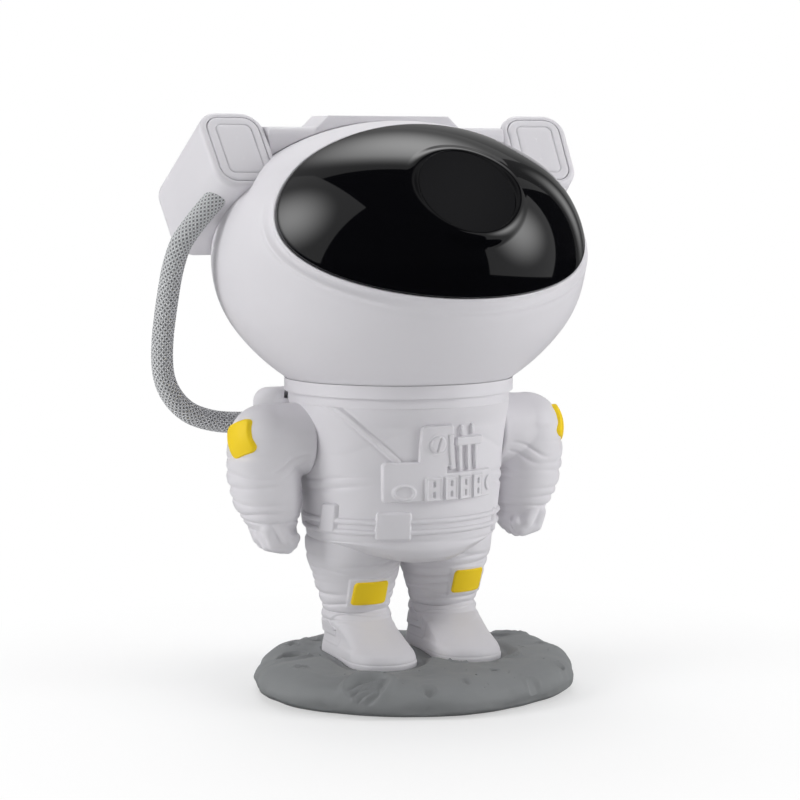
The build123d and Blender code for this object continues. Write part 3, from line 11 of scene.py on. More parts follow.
import bpy
import numpy as np
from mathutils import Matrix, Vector
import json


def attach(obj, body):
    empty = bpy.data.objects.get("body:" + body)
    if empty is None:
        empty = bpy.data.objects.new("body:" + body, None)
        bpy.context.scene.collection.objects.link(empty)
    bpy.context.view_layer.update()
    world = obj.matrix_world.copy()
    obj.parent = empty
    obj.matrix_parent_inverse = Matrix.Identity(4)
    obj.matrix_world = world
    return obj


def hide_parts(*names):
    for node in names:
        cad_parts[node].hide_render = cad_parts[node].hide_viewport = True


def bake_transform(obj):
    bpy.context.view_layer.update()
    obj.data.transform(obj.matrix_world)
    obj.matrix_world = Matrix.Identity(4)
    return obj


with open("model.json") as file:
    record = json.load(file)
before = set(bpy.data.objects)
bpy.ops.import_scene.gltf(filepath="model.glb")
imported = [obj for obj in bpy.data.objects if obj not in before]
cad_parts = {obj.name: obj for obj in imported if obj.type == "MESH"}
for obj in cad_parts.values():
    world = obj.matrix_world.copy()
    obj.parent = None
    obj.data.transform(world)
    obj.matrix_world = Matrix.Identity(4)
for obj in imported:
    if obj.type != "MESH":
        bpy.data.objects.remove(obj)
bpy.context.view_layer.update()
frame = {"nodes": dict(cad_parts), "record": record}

# %% [markdown]
# ## The view
# The camera stands about 0.9 m away, nearly as high as the top of the helmet,
# and looks a little down at the figure from its right side. A long lens keeps
# the big helmet from looking swollen.
# The small shift puts the figure where it belongs in the square frame.

# %% Camera
camera_data = bpy.data.cameras.new("view_camera")
camera = bpy.data.objects.new("view_camera", camera_data)
bpy.context.scene.collection.objects.link(camera)
camera.location = (-0.3804, -0.8157, 0.205)
look_at = Vector((0.0, 0.0, 0.115))
camera.rotation_euler = (look_at - camera.location).to_track_quat("-Z", "Y").to_euler()
camera_data.sensor_width = 36.0
camera_data.lens = 103.8
camera_data.shift_x = -0.01875
camera_data.shift_y = -0.005
bpy.context.scene.camera = camera
print("camera distance:", round((look_at - camera.location).length, 3), "m")

# %% [markdown]
# ## Small helpers for the mesh work
# Every surface below is worked out in millimetres with numpy, and turned into
# metres only when its mesh is made. Most shells are stacks of rings, so one
# helper joins a grid of points and closes it with a point at each end. Reliefs
# are two sheets, and another helper closes the gap round their borders.

# %% Mesh helpers
MM = 0.001


def smooth_step(x, low, high):
    """0 below low, 1 above high, and a soft ramp between."""
    t = np.clip((np.asarray(x, float) - low) / (high - low), 0, 1)
    return t * t * (3 - 2 * t)


def bump_at(x, centre, width):
    """Soft bump of height 1."""
    return np.exp(-(((np.asarray(x, float) - centre) / width) ** 2))


def crease_at(x, centre, width):
    """Narrow furrow of depth 1 with wide shoulders."""
    return 1 / (1 + ((np.asarray(x, float) - centre) / width) ** 2)


def follow(x, stations, values):
    """Smooth line through values at rising stations (a cubic with limited slopes)."""
    xs = np.asarray(stations, float)
    ys = np.asarray(values, float)
    step = np.diff(xs)
    slope = np.diff(ys) / step
    tangent = np.zeros(len(xs))
    for i in range(1, len(xs) - 1):
        if slope[i - 1] * slope[i] > 0:
            tangent[i] = 2 * slope[i - 1] * slope[i] / (slope[i - 1] + slope[i])
    tangent[0], tangent[-1] = slope[0], slope[-1]
    x = np.asarray(x, float)
    k = np.clip(np.searchsorted(xs, x) - 1, 0, len(xs) - 2)
    t = np.clip((x - xs[k]) / step[k], 0, 1)
    return (
        ys[k] * (1 + 2 * t) * (1 - t) ** 2
        + tangent[k] * step[k] * t * (1 - t) ** 2
        + ys[k + 1] * t * t * (3 - 2 * t)
        - tangent[k + 1] * step[k] * t * t * (1 - t)
    )


def follow_table(table, z):
    """The smooth line through each column of a table whose first column is the height."""
    stations = np.array(table, float)
    return [follow(z, stations[:, 0], stations[:, k]) for k in range(1, stations.shape[1])]


def lumps(points, size, seed):
    """Smooth random swell between -1 and 1 in space."""
    table = np.random.default_rng(seed).uniform(-1, 1, (16, 16, 16))
    q = np.asarray(points, float) / size + 64
    cell = np.floor(q).astype(int)
    t = q - cell
    t = t * t * (3 - 2 * t)
    total = np.zeros(q.shape[:-1])
    for corner in np.ndindex(2, 2, 2):
        share = np.where(corner, t, 1 - t)
        weight = share[..., 0] * share[..., 1] * share[..., 2]
        total += weight * table[tuple(np.moveaxis((cell + corner) % 16, -1, 0))]
    return total


def full_turn(around):
    """Evenly spaced angles of a full turn."""
    return np.arange(around) * 2 * math.pi / around


def ring_faces(rows, columns, closed=True):
    """Quads between neighbouring rings of a grid."""
    r, c = np.meshgrid(np.arange(rows - 1), np.arange(columns if closed else columns - 1), indexing="ij")
    after = (c + 1) % columns
    corners = [r * columns + c, r * columns + after, (r + 1) * columns + after, (r + 1) * columns + c]
    return np.stack(corners, -1).reshape(-1, 4)


def closed_stack(rings):
    """Points and faces of a stack of rings, closed by a point at each end."""
    rows, columns = rings.shape[:2]
    points = np.vstack([rings.reshape(-1, 3), rings[0].mean(0), rings[-1].mean(0)])
    faces = [tuple(q) for q in ring_faces(rows, columns)]
    first, last = rows * columns, rows * columns + 1
    faces += [((i + 1) % columns, i, first) for i in range(columns)]
    top = (rows - 1) * columns
    faces += [(top + i, top + (i + 1) % columns, last) for i in range(columns)]
    return points, faces


def sheet_pair(outer, inner):
    """Closed solid between an outer and an inner grid of points."""
    rows, columns = outer.shape[:2]
    quads = ring_faces(rows, columns, closed=False)
    shift = rows * columns
    faces = [tuple(q) for q in quads] + [tuple(q[::-1] + shift) for q in quads]
    edge = [(0, c) for c in range(columns)] + [(r, columns - 1) for r in range(1, rows)]
    edge += [(rows - 1, c) for c in range(columns - 2, -1, -1)] + [(r, 0) for r in range(rows - 2, 0, -1)]
    border = [r * columns + c for r, c in edge]
    faces += [(b, a, a + shift, b + shift) for a, b in zip(border, border[1:] + border[:1])]
    return np.vstack([outer.reshape(-1, 3), inner.reshape(-1, 3)]), faces


print("grid of 3 by 4 closed has", len(ring_faces(3, 4)), "faces")

# %% [markdown]
# A mesh is checked as it is made: if the volume inside its faces comes out
# negative, the faces point inwards, and they are turned round. The object
# itself stays at the origin, and its place is in the mesh.

# %% Make a piece and hang it on its body


def signed_volume(points, faces):
    """Volume enclosed by the faces, negative when they point inwards."""
    total = 0.0
    quads = np.array([f if len(f) == 4 else (*f, f[2]) for f in faces])
    a, b, c, d = (points[quads[:, i]] for i in range(4))
    total += np.einsum("ij,ij->i", a, np.cross(b, c)).sum() / 6
    total += np.einsum("ij,ij->i", a, np.cross(c, d)).sum() / 6
    return total


def placed(name, data):
    """New object of the scene."""
    holder = bpy.data.objects.new(name, data)
    bpy.context.scene.collection.objects.link(holder)
    return holder


def smooth_object(name, mesh):
    """New object with a smooth mesh."""
    mesh.polygons.foreach_set("use_smooth", [True] * len(mesh.polygons))
    return placed(name, mesh)


def new_mesh(name, points, faces):
    """Mesh from points in millimetres."""
    mesh = bpy.data.meshes.new(name)
    mesh.from_pydata((points * MM).tolist(), [], [tuple(int(i) for i in f) for f in faces])
    return mesh


def mesh_piece(name, points, faces, material, body, nodes=(), slot="suit_white"):
    """New smooth object from points in millimetres, riding on a body."""
    points = np.asarray(points, float)
    if signed_volume(points - points.mean(0), faces) < 0:
        faces = [tuple(reversed(f)) for f in faces]
    mesh = new_mesh(name, points, faces)
    mesh.validate()
    mesh.materials.append(material)
    piece = smooth_object(name, mesh)
    if body is not None:
        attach(piece, body)
    if nodes:
        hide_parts(*nodes)
    return piece


def join_lists(parts):
    """One point list and face list out of several closed shapes."""
    points, faces, used = [], [], 0
    for some_points, some_faces in parts:
        points.append(np.asarray(some_points, float))
        faces += [tuple(i + used for i in f) for f in some_faces]
        used += len(some_points)
    return np.vstack(points), faces


def read_points(mesh):
    """Vertex places of a mesh in millimetres."""
    co = np.zeros(len(mesh.vertices) * 3)
    mesh.vertices.foreach_get("co", co)
    return co.reshape(-1, 3) / MM


def settled(holder):
    """Plain mesh of an object with its modifiers applied; the object is removed."""
    evaluated = holder.evaluated_get(bpy.context.evaluated_depsgraph_get())
    mesh = bpy.data.meshes.new_from_object(evaluated)
    bpy.data.objects.remove(holder)
    return mesh


def merged_skin(parts, voxel, rounds):
    """Points, faces and normals of one skin round several overlapping closed shapes."""
    rough = placed("rough", new_mesh("rough", *join_lists(parts)))
    remesh = rough.modifiers.new("one_skin", "REMESH")
    remesh.mode = "VOXEL"
    remesh.voxel_size = voxel * MM
    soften = rough.modifiers.new("soften", "SMOOTH")
    soften.factor = 0.5
    soften.iterations = rounds
    skin = settled(rough)
    normals = np.zeros(len(skin.vertices) * 3)
    skin.vertices.foreach_get("normal", normals)
    return read_points(skin), [tuple(p.vertices) for p in skin.polygons], normals.reshape(-1, 3)


print("helpers ready")

# %% [markdown]
# Materials and scattered stones are built from nodes. One helper makes a node,
# gives it its settings, and fills each named input with a value or with the
# output of another node. Two more start a node group and a material.

# %% Node helpers


def add_node(tree, kind, inputs=None, **settings):
    """New node; an input takes a value or the output of another node."""
    node = tree.nodes.new(kind)
    for name, value in settings.items():
        setattr(node, name, value)
    for name, value in (inputs or {}).items():
        if isinstance(value, bpy.types.NodeSocket):
            tree.links.new(value, node.inputs[name])
        else:
            node.inputs[name].default_value = value
    return node


def new_group(name, inputs, outputs):
    """Shader group with number sockets, and the sockets at its two ends."""
    group = bpy.data.node_groups.new(name, "ShaderNodeTree")
    for socket_name, value in inputs.items():
        socket = group.interface.new_socket(socket_name, in_out="INPUT", socket_type="NodeSocketFloat")
        socket.default_value = value
    for socket_name in outputs:
        group.interface.new_socket(socket_name, in_out="OUTPUT", socket_type="NodeSocketFloat")
    return group, group.nodes.new("NodeGroupInput").outputs, group.nodes.new("NodeGroupOutput").inputs


def new_material(name):
    """Material with its node tree and the inputs of its shader."""
    material = bpy.data.materials.new(name)
    material.use_nodes = True
    return material, material.node_tree, material.node_tree.nodes["Principled BSDF"].inputs


print("node helpers ready")

# %% [markdown]
# ## Finishes
# The white shells are moulded plastic with a soft matte skin. A shader node
# group makes the very fine grain and the faint change of tone that moulded
# plastic has, and each material sets its own grain size, strength and colour.
# The group puts out only a mask and a height, so the shader itself stays in the
# material, where the export can read it.

# %% Node group for moulded grain


def build_grain_group():
    """Group with a tone mask and a bump height out of two noises."""
    sizes = {"Patch Size": 30.0, "Grain Size": 900.0}
    group, inside, outside = new_group("moulded_grain", sizes, ("Tone", "Height"))
    place = add_node(group, "ShaderNodeTexCoord").outputs["Object"]
    for size, detail, result in (("Patch Size", 4.0, "Tone"), ("Grain Size", 2.0, "Height")):
        sockets = {"Vector": place, "Scale": inside[size], "Detail": detail}
        noise = add_node(group, "ShaderNodeTexNoise", sockets)
        group.links.new(noise.outputs[0], outside[result])
    return group


grain_group = build_grain_group()
print("group sockets:", [s.name for s in grain_group.interface.items_tree])

# %% [markdown]
# Wear shows first on edges. A second group compares the rounded normal of the
# Bevel node with the true one, which marks the edges, and breaks the mark up
# with noise. It stays faint on the white shells, which are nearly new.

# %% Node group for worn edges


def build_edge_group():
    """Group whose mask is 1 on convex and concave edges, broken up by noise."""
    group, inside, outside = new_group("edge_wear", {"Width": 0.0006}, ("Mask",))
    rounded = add_node(group, "ShaderNodeBevel", {"Radius": inside["Width"]}, samples=4)
    normal = add_node(group, "ShaderNodeNewGeometry").outputs["Normal"]
    likeness = add_node(group, "ShaderNodeVectorMath", {0: rounded.outputs[0], 1: normal},
                        operation="DOT_PRODUCT")
    spread = add_node(group, "ShaderNodeMapRange",
                      {"Value": likeness.outputs["Value"], "From Min": 0.99, "From Max": 0.85})
    place = add_node(group, "ShaderNodeTexCoord").outputs["Object"]
    noise = add_node(group, "ShaderNodeTexNoise", {"Vector": place, "Scale": 140.0})
    breakup = add_node(group, "ShaderNodeMath", {0: spread.outputs[0], 1: noise.outputs[0]},
                       operation="MULTIPLY")
    group.links.new(breakup.outputs[0], outside["Mask"])
    return group


edge_group = build_edge_group()
print("group sockets:", [s.name for s in edge_group.interface.items_tree])

# %% [markdown]
# One function makes every plain finish. It mixes two close tones by the grain
# mask, lightens the edges where a finish asks for wear, and lets the grain
# raise the surface by a tenth of a millimetre at most.

# %% Plain finishes


def finish(name, tone, other, rough, metal=0.0, patch=30.0, grain=900.0, depth=0.00002,
           wear=None, wear_amount=0.0):
    """Material with two tones, a grain of some depth and, where wear is a colour, worn edges."""
    material, tree, shader = new_material(name)
    shader["Roughness"].default_value = rough
    shader["Metallic"].default_value = metal
    sizes = {"Patch Size": patch, "Grain Size": grain}
    grained = add_node(tree, "ShaderNodeGroup", sizes, node_tree=grain_group).outputs
    tones = {"Factor": grained["Tone"], "A": (*tone, 1), "B": (*other, 1)}
    colour = add_node(tree, "ShaderNodeMix", tones, data_type="RGBA").outputs["Result"]
    if wear is not None:
        mask = add_node(tree, "ShaderNodeGroup", node_tree=edge_group).outputs["Mask"]
        amount = add_node(tree, "ShaderNodeMath", {0: mask, 1: wear_amount}, operation="MULTIPLY").outputs[0]
        tones = {"Factor": amount, "A": colour, "B": (*wear, 1)}
        colour = add_node(tree, "ShaderNodeMix", tones, data_type="RGBA").outputs["Result"]
    tree.links.new(colour, shader["Base Color"])
    if depth:
        relief = {"Strength": 0.6, "Distance": depth, "Height": grained["Height"]}
        tree.links.new(add_node(tree, "ShaderNodeBump", relief).outputs[0], shader["Normal"])
    return material


suit_white = finish("suit_white", (0.75, 0.735, 0.765), (0.71, 0.695, 0.725), 0.46,
                    wear=(0.8, 0.8, 0.82), wear_amount=0.4)
moon_grey = finish("moon_grey", (0.205, 0.213, 0.217), (0.258, 0.266, 0.27), 0.62,
                   patch=55, grain=1500, depth=0.00006)
patch_yellow = finish("patch_yellow", (0.94, 0.66, 0.002), (0.90, 0.63, 0.002), 0.5)
light_grey = finish("light_grey", (0.36, 0.36, 0.38), (0.33, 0.33, 0.35), 0.5,
                    wear=(0.5, 0.5, 0.5), wear_amount=0.5)
button_grey = finish("button_grey", (0.11, 0.11, 0.12), (0.13, 0.13, 0.14), 0.6)
dark_plastic = finish("dark_plastic", (0.02, 0.02, 0.022), (0.03, 0.03, 0.03), 0.5)
natural_plastic = finish("natural_plastic", (0.7, 0.68, 0.6), (0.64, 0.62, 0.55), 0.45)
pad_rubber = finish("pad_rubber", (0.025, 0.025, 0.025), (0.035, 0.035, 0.035), 0.85,
                    grain=2500, depth=0.0001)
gasket_rubber = finish("gasket_rubber", (0.014, 0.014, 0.014), (0.02, 0.02, 0.02), 0.7)
plated_steel = finish("plated_steel", (0.5, 0.5, 0.51), (0.42, 0.42, 0.43), 0.32,
                      metal=1.0, patch=120, grain=1800)
nickel = finish("nickel", (0.66, 0.63, 0.58), (0.6, 0.58, 0.54), 0.18, metal=1.0)
brass = finish("brass", (0.66, 0.48, 0.2), (0.6, 0.42, 0.17), 0.25, metal=1.0)
aluminium = finish("aluminium", (0.7, 0.7, 0.72), (0.62, 0.62, 0.64), 0.35, metal=1.0, patch=80)
lamp_white = finish("lamp_white", (0.85, 0.85, 0.8), (0.8, 0.8, 0.76), 0.4)
board_green = finish("board_green", (0.01, 0.11, 0.035), (0.012, 0.15, 0.05), 0.3, patch=200)
film_blue = finish("film_blue", (0.07, 0.1, 0.38), (0.28, 0.1, 0.42), 0.15, patch=60)
print("finishes:", len(bpy.data.materials))

# %% [markdown]
# The visor and the lens are polished, so they have no relief, and their gloss
# varies only faintly. What makes them look right is what they mirror on a
# nearly black body. The inner lenses are clear glass.

# %% Polished finishes
POLISH_SMEAR = 0.03


def polished(name, tone, rough, clear=0.0):
    """Glossy material, clear where clear is 1, with a faint smear in its gloss."""
    material = finish(name, tone, tuple(c * 1.15 for c in tone), rough, grain=60, depth=0.0)
    tree = material.node_tree
    shader = tree.nodes["Principled BSDF"].inputs
    shader["IOR"].default_value = 1.5
    shader["Transmission Weight"].default_value = clear
    grained = next(n for n in tree.nodes if n.type == "GROUP").outputs
    smear = {"Value": grained["Tone"], "To Min": rough, "To Max": rough + POLISH_SMEAR}
    tree.links.new(add_node(tree, "ShaderNodeMapRange", smear).outputs[0], shader["Roughness"])
    return material


visor_black = polished("visor_black", (0.0022, 0.0022, 0.003), 0.03)
smoked_lens = polished("smoked_lens", (0.002, 0.002, 0.003), 0.02)
clear_lens = polished("clear_lens", (0.95, 0.97, 1.0), 0.02, clear=1.0)
print("visor gloss", visor_black.node_tree.nodes["Principled BSDF"].inputs["IOR"].default_value)

# %% [markdown]
# ## The braided hose
# The air hose is a soft tube in a braided sleeve. It leaves the backpack beside
# the neck, swings out and up past the helmet, and goes into the right pod.
# Its line is a NURBS curve that the corner points of the CAD route control, so
# it stays close to the CAD's own runs and arcs. The sleeve is a round tube
# along that line, and two sets of strands, one wound each way, are raised on it
# in the mesh and coloured by its own UV map.

# %% Hose line
HOSE_LOWER = ((-41.5, 45, 102.5), (-56, 45, 102.5), (-69, 44.6, 103.8), (-81, 42.8, 108.6),
              (-90, 39.8, 120), (-91.8, 36.6, 135), (-91.2, 34.4, 144.5))
HOSE_UPPER = ((-91.2, 34.4, 144.5), (-90.6, 32.2, 154), (-89.2, 28.8, 167.5), (-85.8, 24.8, 179.5),
              (-72.3, 19.8, 195.2))
HOSE_R = 4.3
STRANDS = 14
WEAVE_DIP = 0.35
TURN_LENGTH = 2 * math.pi * HOSE_R * 1.15


def route_line(points):
    """Dense points of the smooth NURBS line that a route controls."""
    curve = bpy.data.curves.new("route", "CURVE")
    curve.dimensions = "3D"
    curve.resolution_u = 24
    spline = curve.splines.new("NURBS")
    spline.points.add(len(points) - 1)
    for point, place in zip(spline.points, points):
        point.co = (place[0] * MM, place[1] * MM, place[2] * MM, 1)
    spline.order_u = 3
    spline.use_endpoint_u = True
    return read_points(settled(placed("route", curve)))


def line_length(line):
    """Length of a row of points."""
    return float(np.linalg.norm(np.diff(line, axis=0), axis=1).sum())


lower_line, upper_line = route_line(HOSE_LOWER), route_line(HOSE_UPPER)
print("hose:", round(line_length(lower_line)), "+", round(line_length(upper_line)), "mm")

# %% [markdown]
# The sleeve's colour comes from its UV map: U goes round the tube once and V
# counts the turns of the braid along it. Two sine patterns that lean opposite
# ways mark the strands, and the gaps between them stay dark.

# %% Braid finish


def build_braid_group():
    """Group whose mask is 1 on the strands of a braid laid out on UV."""
    group, inside, outside = new_group("braid", {"Strands": float(STRANDS)}, ("Mask",))
    place = add_node(group, "ShaderNodeTexCoord").outputs["UV"]
    split = add_node(group, "ShaderNodeSeparateXYZ", {0: place}).outputs

    def worked_out(operation, *values):
        return add_node(group, "ShaderNodeMath", dict(enumerate(values)), operation=operation).outputs[0]

    waves = []
    for operation in ("ADD", "SUBTRACT"):
        lean = worked_out(operation, split[0], split[1])
        turns = worked_out("MULTIPLY", lean, inside["Strands"])
        waves.append(worked_out("ABSOLUTE", worked_out("SINE", worked_out("MULTIPLY", turns, math.pi))))
    strands = worked_out("MAXIMUM", *waves)
    dips = worked_out("MULTIPLY", worked_out("MULTIPLY", *waves), -WEAVE_DIP)
    group.links.new(worked_out("ADD", worked_out("MULTIPLY", strands, strands), dips), outside["Mask"])
    return group


def make_braid_finish():
    """Cloth with pale strands and dark gaps."""
    material, tree, shader = new_material("hose_braid")
    for name, value in (("Roughness", 0.75), ("Sheen Weight", 0.25), ("Sheen Roughness", 0.5)):
        shader[name].default_value = value
    mask = add_node(tree, "ShaderNodeGroup", node_tree=build_braid_group()).outputs["Mask"]
    ramp = add_node(tree, "ShaderNodeMapRange", {"Value": mask, "From Min": 0.12, "From Max": 0.8})
    tones = {"Factor": ramp.outputs[0], "A": (0.13, 0.133, 0.137, 1), "B": (0.66, 0.67, 0.68, 1)}
    colour = add_node(tree, "ShaderNodeMix", tones, data_type="RGBA").outputs["Result"]
    bump = add_node(tree, "ShaderNodeBump", {"Height": mask, "Distance": 0.0003, "Strength": 0.8})
    tree.links.new(colour, shader["Base Color"])
    tree.links.new(bump.outputs[0], shader["Normal"])
    return material


hose_braid = make_braid_finish()
print("braid group in", hose_braid.name)

# %% [markdown]
# The real sleeve is woven from two sets of strands. Thin tubes wound round each
# other could make it too, but they would take far more faces.

# %% Hose sleeves


def evenly(line, count):
    """The same line with evenly spaced points."""
    walked = np.concatenate([[0], np.cumsum(np.linalg.norm(np.diff(line, axis=0), axis=1))])
    at = np.linspace(0, walked[-1], count)
    return np.stack([np.interp(at, walked, line[:, k]) for k in range(3)], -1)


def sleeve_rings(line, radius, around):
    """Rings square to a line, without twist."""
    along = np.gradient(line, axis=0)
    along /= np.linalg.norm(along, axis=1)[:, None]
    side = np.cross(along[0], (0.0, 1.0, 0.2))
    side /= np.linalg.norm(side)
    rings = []
    turn = full_turn(around)
    for centre, ahead in zip(line, along):
        side = side - ahead * side.dot(ahead)
        side /= np.linalg.norm(side)
        up = np.cross(ahead, side)
        rings.append(centre + radius * (np.cos(turn)[:, None] * side + np.sin(turn)[:, None] * up))
    return np.array(rings)


def make_sleeve(name, line, start_v):
    """One length of hose with a raised braid and a UV map that counts its turns."""
    around, rows = 84, int(line_length(line) / 0.34)
    line = evenly(line, rows)
    rings = sleeve_rings(line, HOSE_R, around)
    length = line_length(line)
    u = np.arange(around) / around
    v = (start_v + np.linspace(0, length, rows)) / TURN_LENGTH
    one = np.abs(np.sin(math.pi * STRANDS * (u[None, :] + v[:, None])))
    two = np.abs(np.sin(math.pi * STRANDS * (u[None, :] - v[:, None])))
    raised = np.maximum(one, two) ** 2 - WEAVE_DIP * one * two
    rings = line[:, None, :] + (rings - line[:, None, :]) * (1 + (0.22 * raised - 0.2)[:, :, None] / HOSE_R)
    points, faces = closed_stack(rings)
    sleeve = mesh_piece(name, points, faces, hose_braid, None, slot="hose_braid")
    layer = sleeve.data.uv_layers.new(name="UVMap")
    corner_uv = []
    for polygon in sleeve.data.polygons:
        columns = [i % around if i < rows * around else 0 for i in polygon.vertices]
        wraps = max(columns) - min(columns) > around / 2
        for index, column in zip(polygon.vertices, columns):
            row = min(index // around, rows - 1)
            corner_uv += [(column + (around if wraps and column < around / 2 else 0)) / around, v[row]]
    layer.data.foreach_set("uv", corner_uv)
    return sleeve, line, length


hose_low, low_line, low_length = make_sleeve("hose_lower_sleeve", lower_line, 0.0)
hose_high, high_line, high_length = make_sleeve("hose_upper_sleeve", upper_line, low_length)
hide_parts("hose_lower")
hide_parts("hose_upper")
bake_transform(hose_low)
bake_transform(hose_high)
print("sleeves:", round(low_length, 1), round(high_length, 1), "mm")

# %% [markdown]
# ## The piece of moon
# The base is a low rock with a wavy rim, cast in grey plastic. It is one grid
# of rings: the underside, the steep rim, and the top down to the middle. The
# top is sculpted by numbers: every crater is a bowl with a raised lip, the
# biggest has ripples in it, and swells of three sizes make the rest uneven.
# Round the boots the surface drops away, so that a thin dark gap shows.

# %% Moon base shape
BASE_HALF_X, BASE_HALF_Y = 64.3, 60.0
BASE_TOP = 13.0
UNDERSIDE = 0.62
TOP_INSET = 11.0
BOOT_X = 18.4
SOLE_TOE_Y, SOLE_LENGTH, SOLE_R = -8.4, 26.4, 14.0
CRATERS = ((-38.3, -40.7, 8.6, 1.5), (6.5, -25.6, 3.0, 0.9), (30.1, -25.5, 3.3, 1.1),
           (24.7, -54.0, 3.4, 0.8), (-19.5, -54.0, 2.8, 0.7), (50.0, 16.5, 6.0, 1.2), (-47, 14, 6.0, 1.3),
           (0, 44, 6.6, 1.4), (44, -38, 2.6, 0.6), (13, -44, 1.8, 0.5), (-52, -8, 2.4, 0.6),
           (29, 45, 3.6, 0.9), (-27, 43, 2.6, 0.7), (52, -8, 2.0, 0.5), (-3, -52, 1.6, 0.4),
           (19.5, -32, 1.3, 0.35), (39, 33, 2.2, 0.6), (-40, 31, 2.6, 0.6))


def boot_distance(x, y, side):
    """Distance from the outline of one sole, below 0 inside it."""
    on = np.clip((y - SOLE_TOE_Y) / SOLE_LENGTH, 0, 1)
    return np.hypot(x - side * BOOT_X, y - (SOLE_TOE_Y + SOLE_LENGTH * on)) - (SOLE_R - 0.8 * on)


def moon_height(x, y):
    """What the sculpting adds to the height of the base's top."""
    flat = np.stack([x, y, np.zeros_like(x)], -1)
    height = 1.5 * lumps(flat, 19, 3) + 0.6 * lumps(flat, 8, 4) + 0.08 * lumps(flat, 2.6, 5)
    for cx, cy, r, depth in CRATERS:
        wobble = 1 + 0.10 * lumps(flat + 7, r * 0.9, 6)
        q = np.hypot(x - cx, (y - cy) * (1.0 if r < 8 else 1.12)) / r * wobble
        height += -2.0 * depth * smooth_step(1 - q, 0.0, 0.42) + 0.95 * depth * bump_at(q, 1.1, 0.15)
    big_x, big_y, big_r, _ = CRATERS[0]
    qx, qy = (x - big_x) / big_r, (y - big_y) / big_r
    inside = smooth_step(1 - np.hypot(qx, qy), 0.05, 0.3)
    for ripple in (-0.42, -0.06, 0.3):
        height += inside * 1.9 * bump_at(qy + 0.25 * qx**2, ripple, 0.1)
    return height


def make_moon_base():
    """The rock: underside, rim and sculpted top in one grid of rings."""
    around = 420
    turn = full_turn(around)
    circle = np.stack([np.cos(turn), np.sin(turn), np.zeros(around)], -1)
    rim = 1 / np.hypot(np.cos(turn) / BASE_HALF_X, np.sin(turn) / BASE_HALF_Y)
    rim = rim * (1 + 0.016 * lumps(circle * 3, 1.0, 8) + 0.010 * lumps(circle * 8, 1.0, 9))
    up_rim, marks = np.linspace(0, 1, 24), (0, 0.2, 0.4, 0.6, 0.8, 1)
    inset = follow(up_rim, marks, (3.3, 1.1, 0.1, 1.3, 4.2, TOP_INSET))
    height = follow(up_rim, marks, (UNDERSIDE, 2.4, 5.5, 8.4, 10.6, 12.8))
    rows = [(rim * share, np.full(around, UNDERSIDE)) for share in np.linspace(0.03, 0.94, 12)]
    rows += [(rim - depth, np.full(around, z)) for depth, z in zip(inset, height)]
    rows += [((rim - TOP_INSET) * share, np.full(around, BASE_TOP - 0.2 * share**6))
             for share in np.linspace(1, 0.01, 112)[1:]]
    r, z = (np.array(column) for column in zip(*rows))
    x, y = r * np.cos(turn), r * np.sin(turn)
    high = smooth_step(z, 3.6, 7.6)
    z = z + high * moon_height(x, y)
    side = smooth_step(z, 1.2, 3.6) * (1 - 0.5 * high)
    places = np.stack([x, y, z], -1)
    push = side * 1.3 * (lumps(places, 11, 10) + 0.4 * lumps(places, 4, 11)) / np.maximum(r, 1)
    x, y = x * (1 + push), y * (1 + push)
    gap = np.minimum(boot_distance(x, y, -1), boot_distance(x, y, 1))
    settle = high * (1 - smooth_step(gap, 2.2, 7.0))
    z = z * (1 - settle) + settle * (BASE_TOP - 1.3 * smooth_step(-y, -6, 14))
    z = z - high * 0.8 * (1 - smooth_step(gap, 0.1, 0.45))
    points, faces = closed_stack(np.stack([x, y, z], -1))
    return mesh_piece("moon_rock", points, faces, moon_grey, "stand", ("moon_base",), "moon_grey")


moon_rock = make_moon_base()
print("moon rock:", len(moon_rock.data.polygons), "faces")

# %% [markdown]
# Small pebbles lie on the rock, cast in one piece with it. They repeat, so
# Geometry Nodes scatter them: points on the upward faces, a squashed icosphere
# on each, a fixed seed, and a random turn and size. The tree ends in real
# geometry with its material, and the result is turned into a plain mesh.

# %% Pebbles by Geometry Nodes
PEBBLES_PER_SQUARE_METRE = 4500.0
PEBBLE_R = 0.0005
PEBBLE_FACES = 80


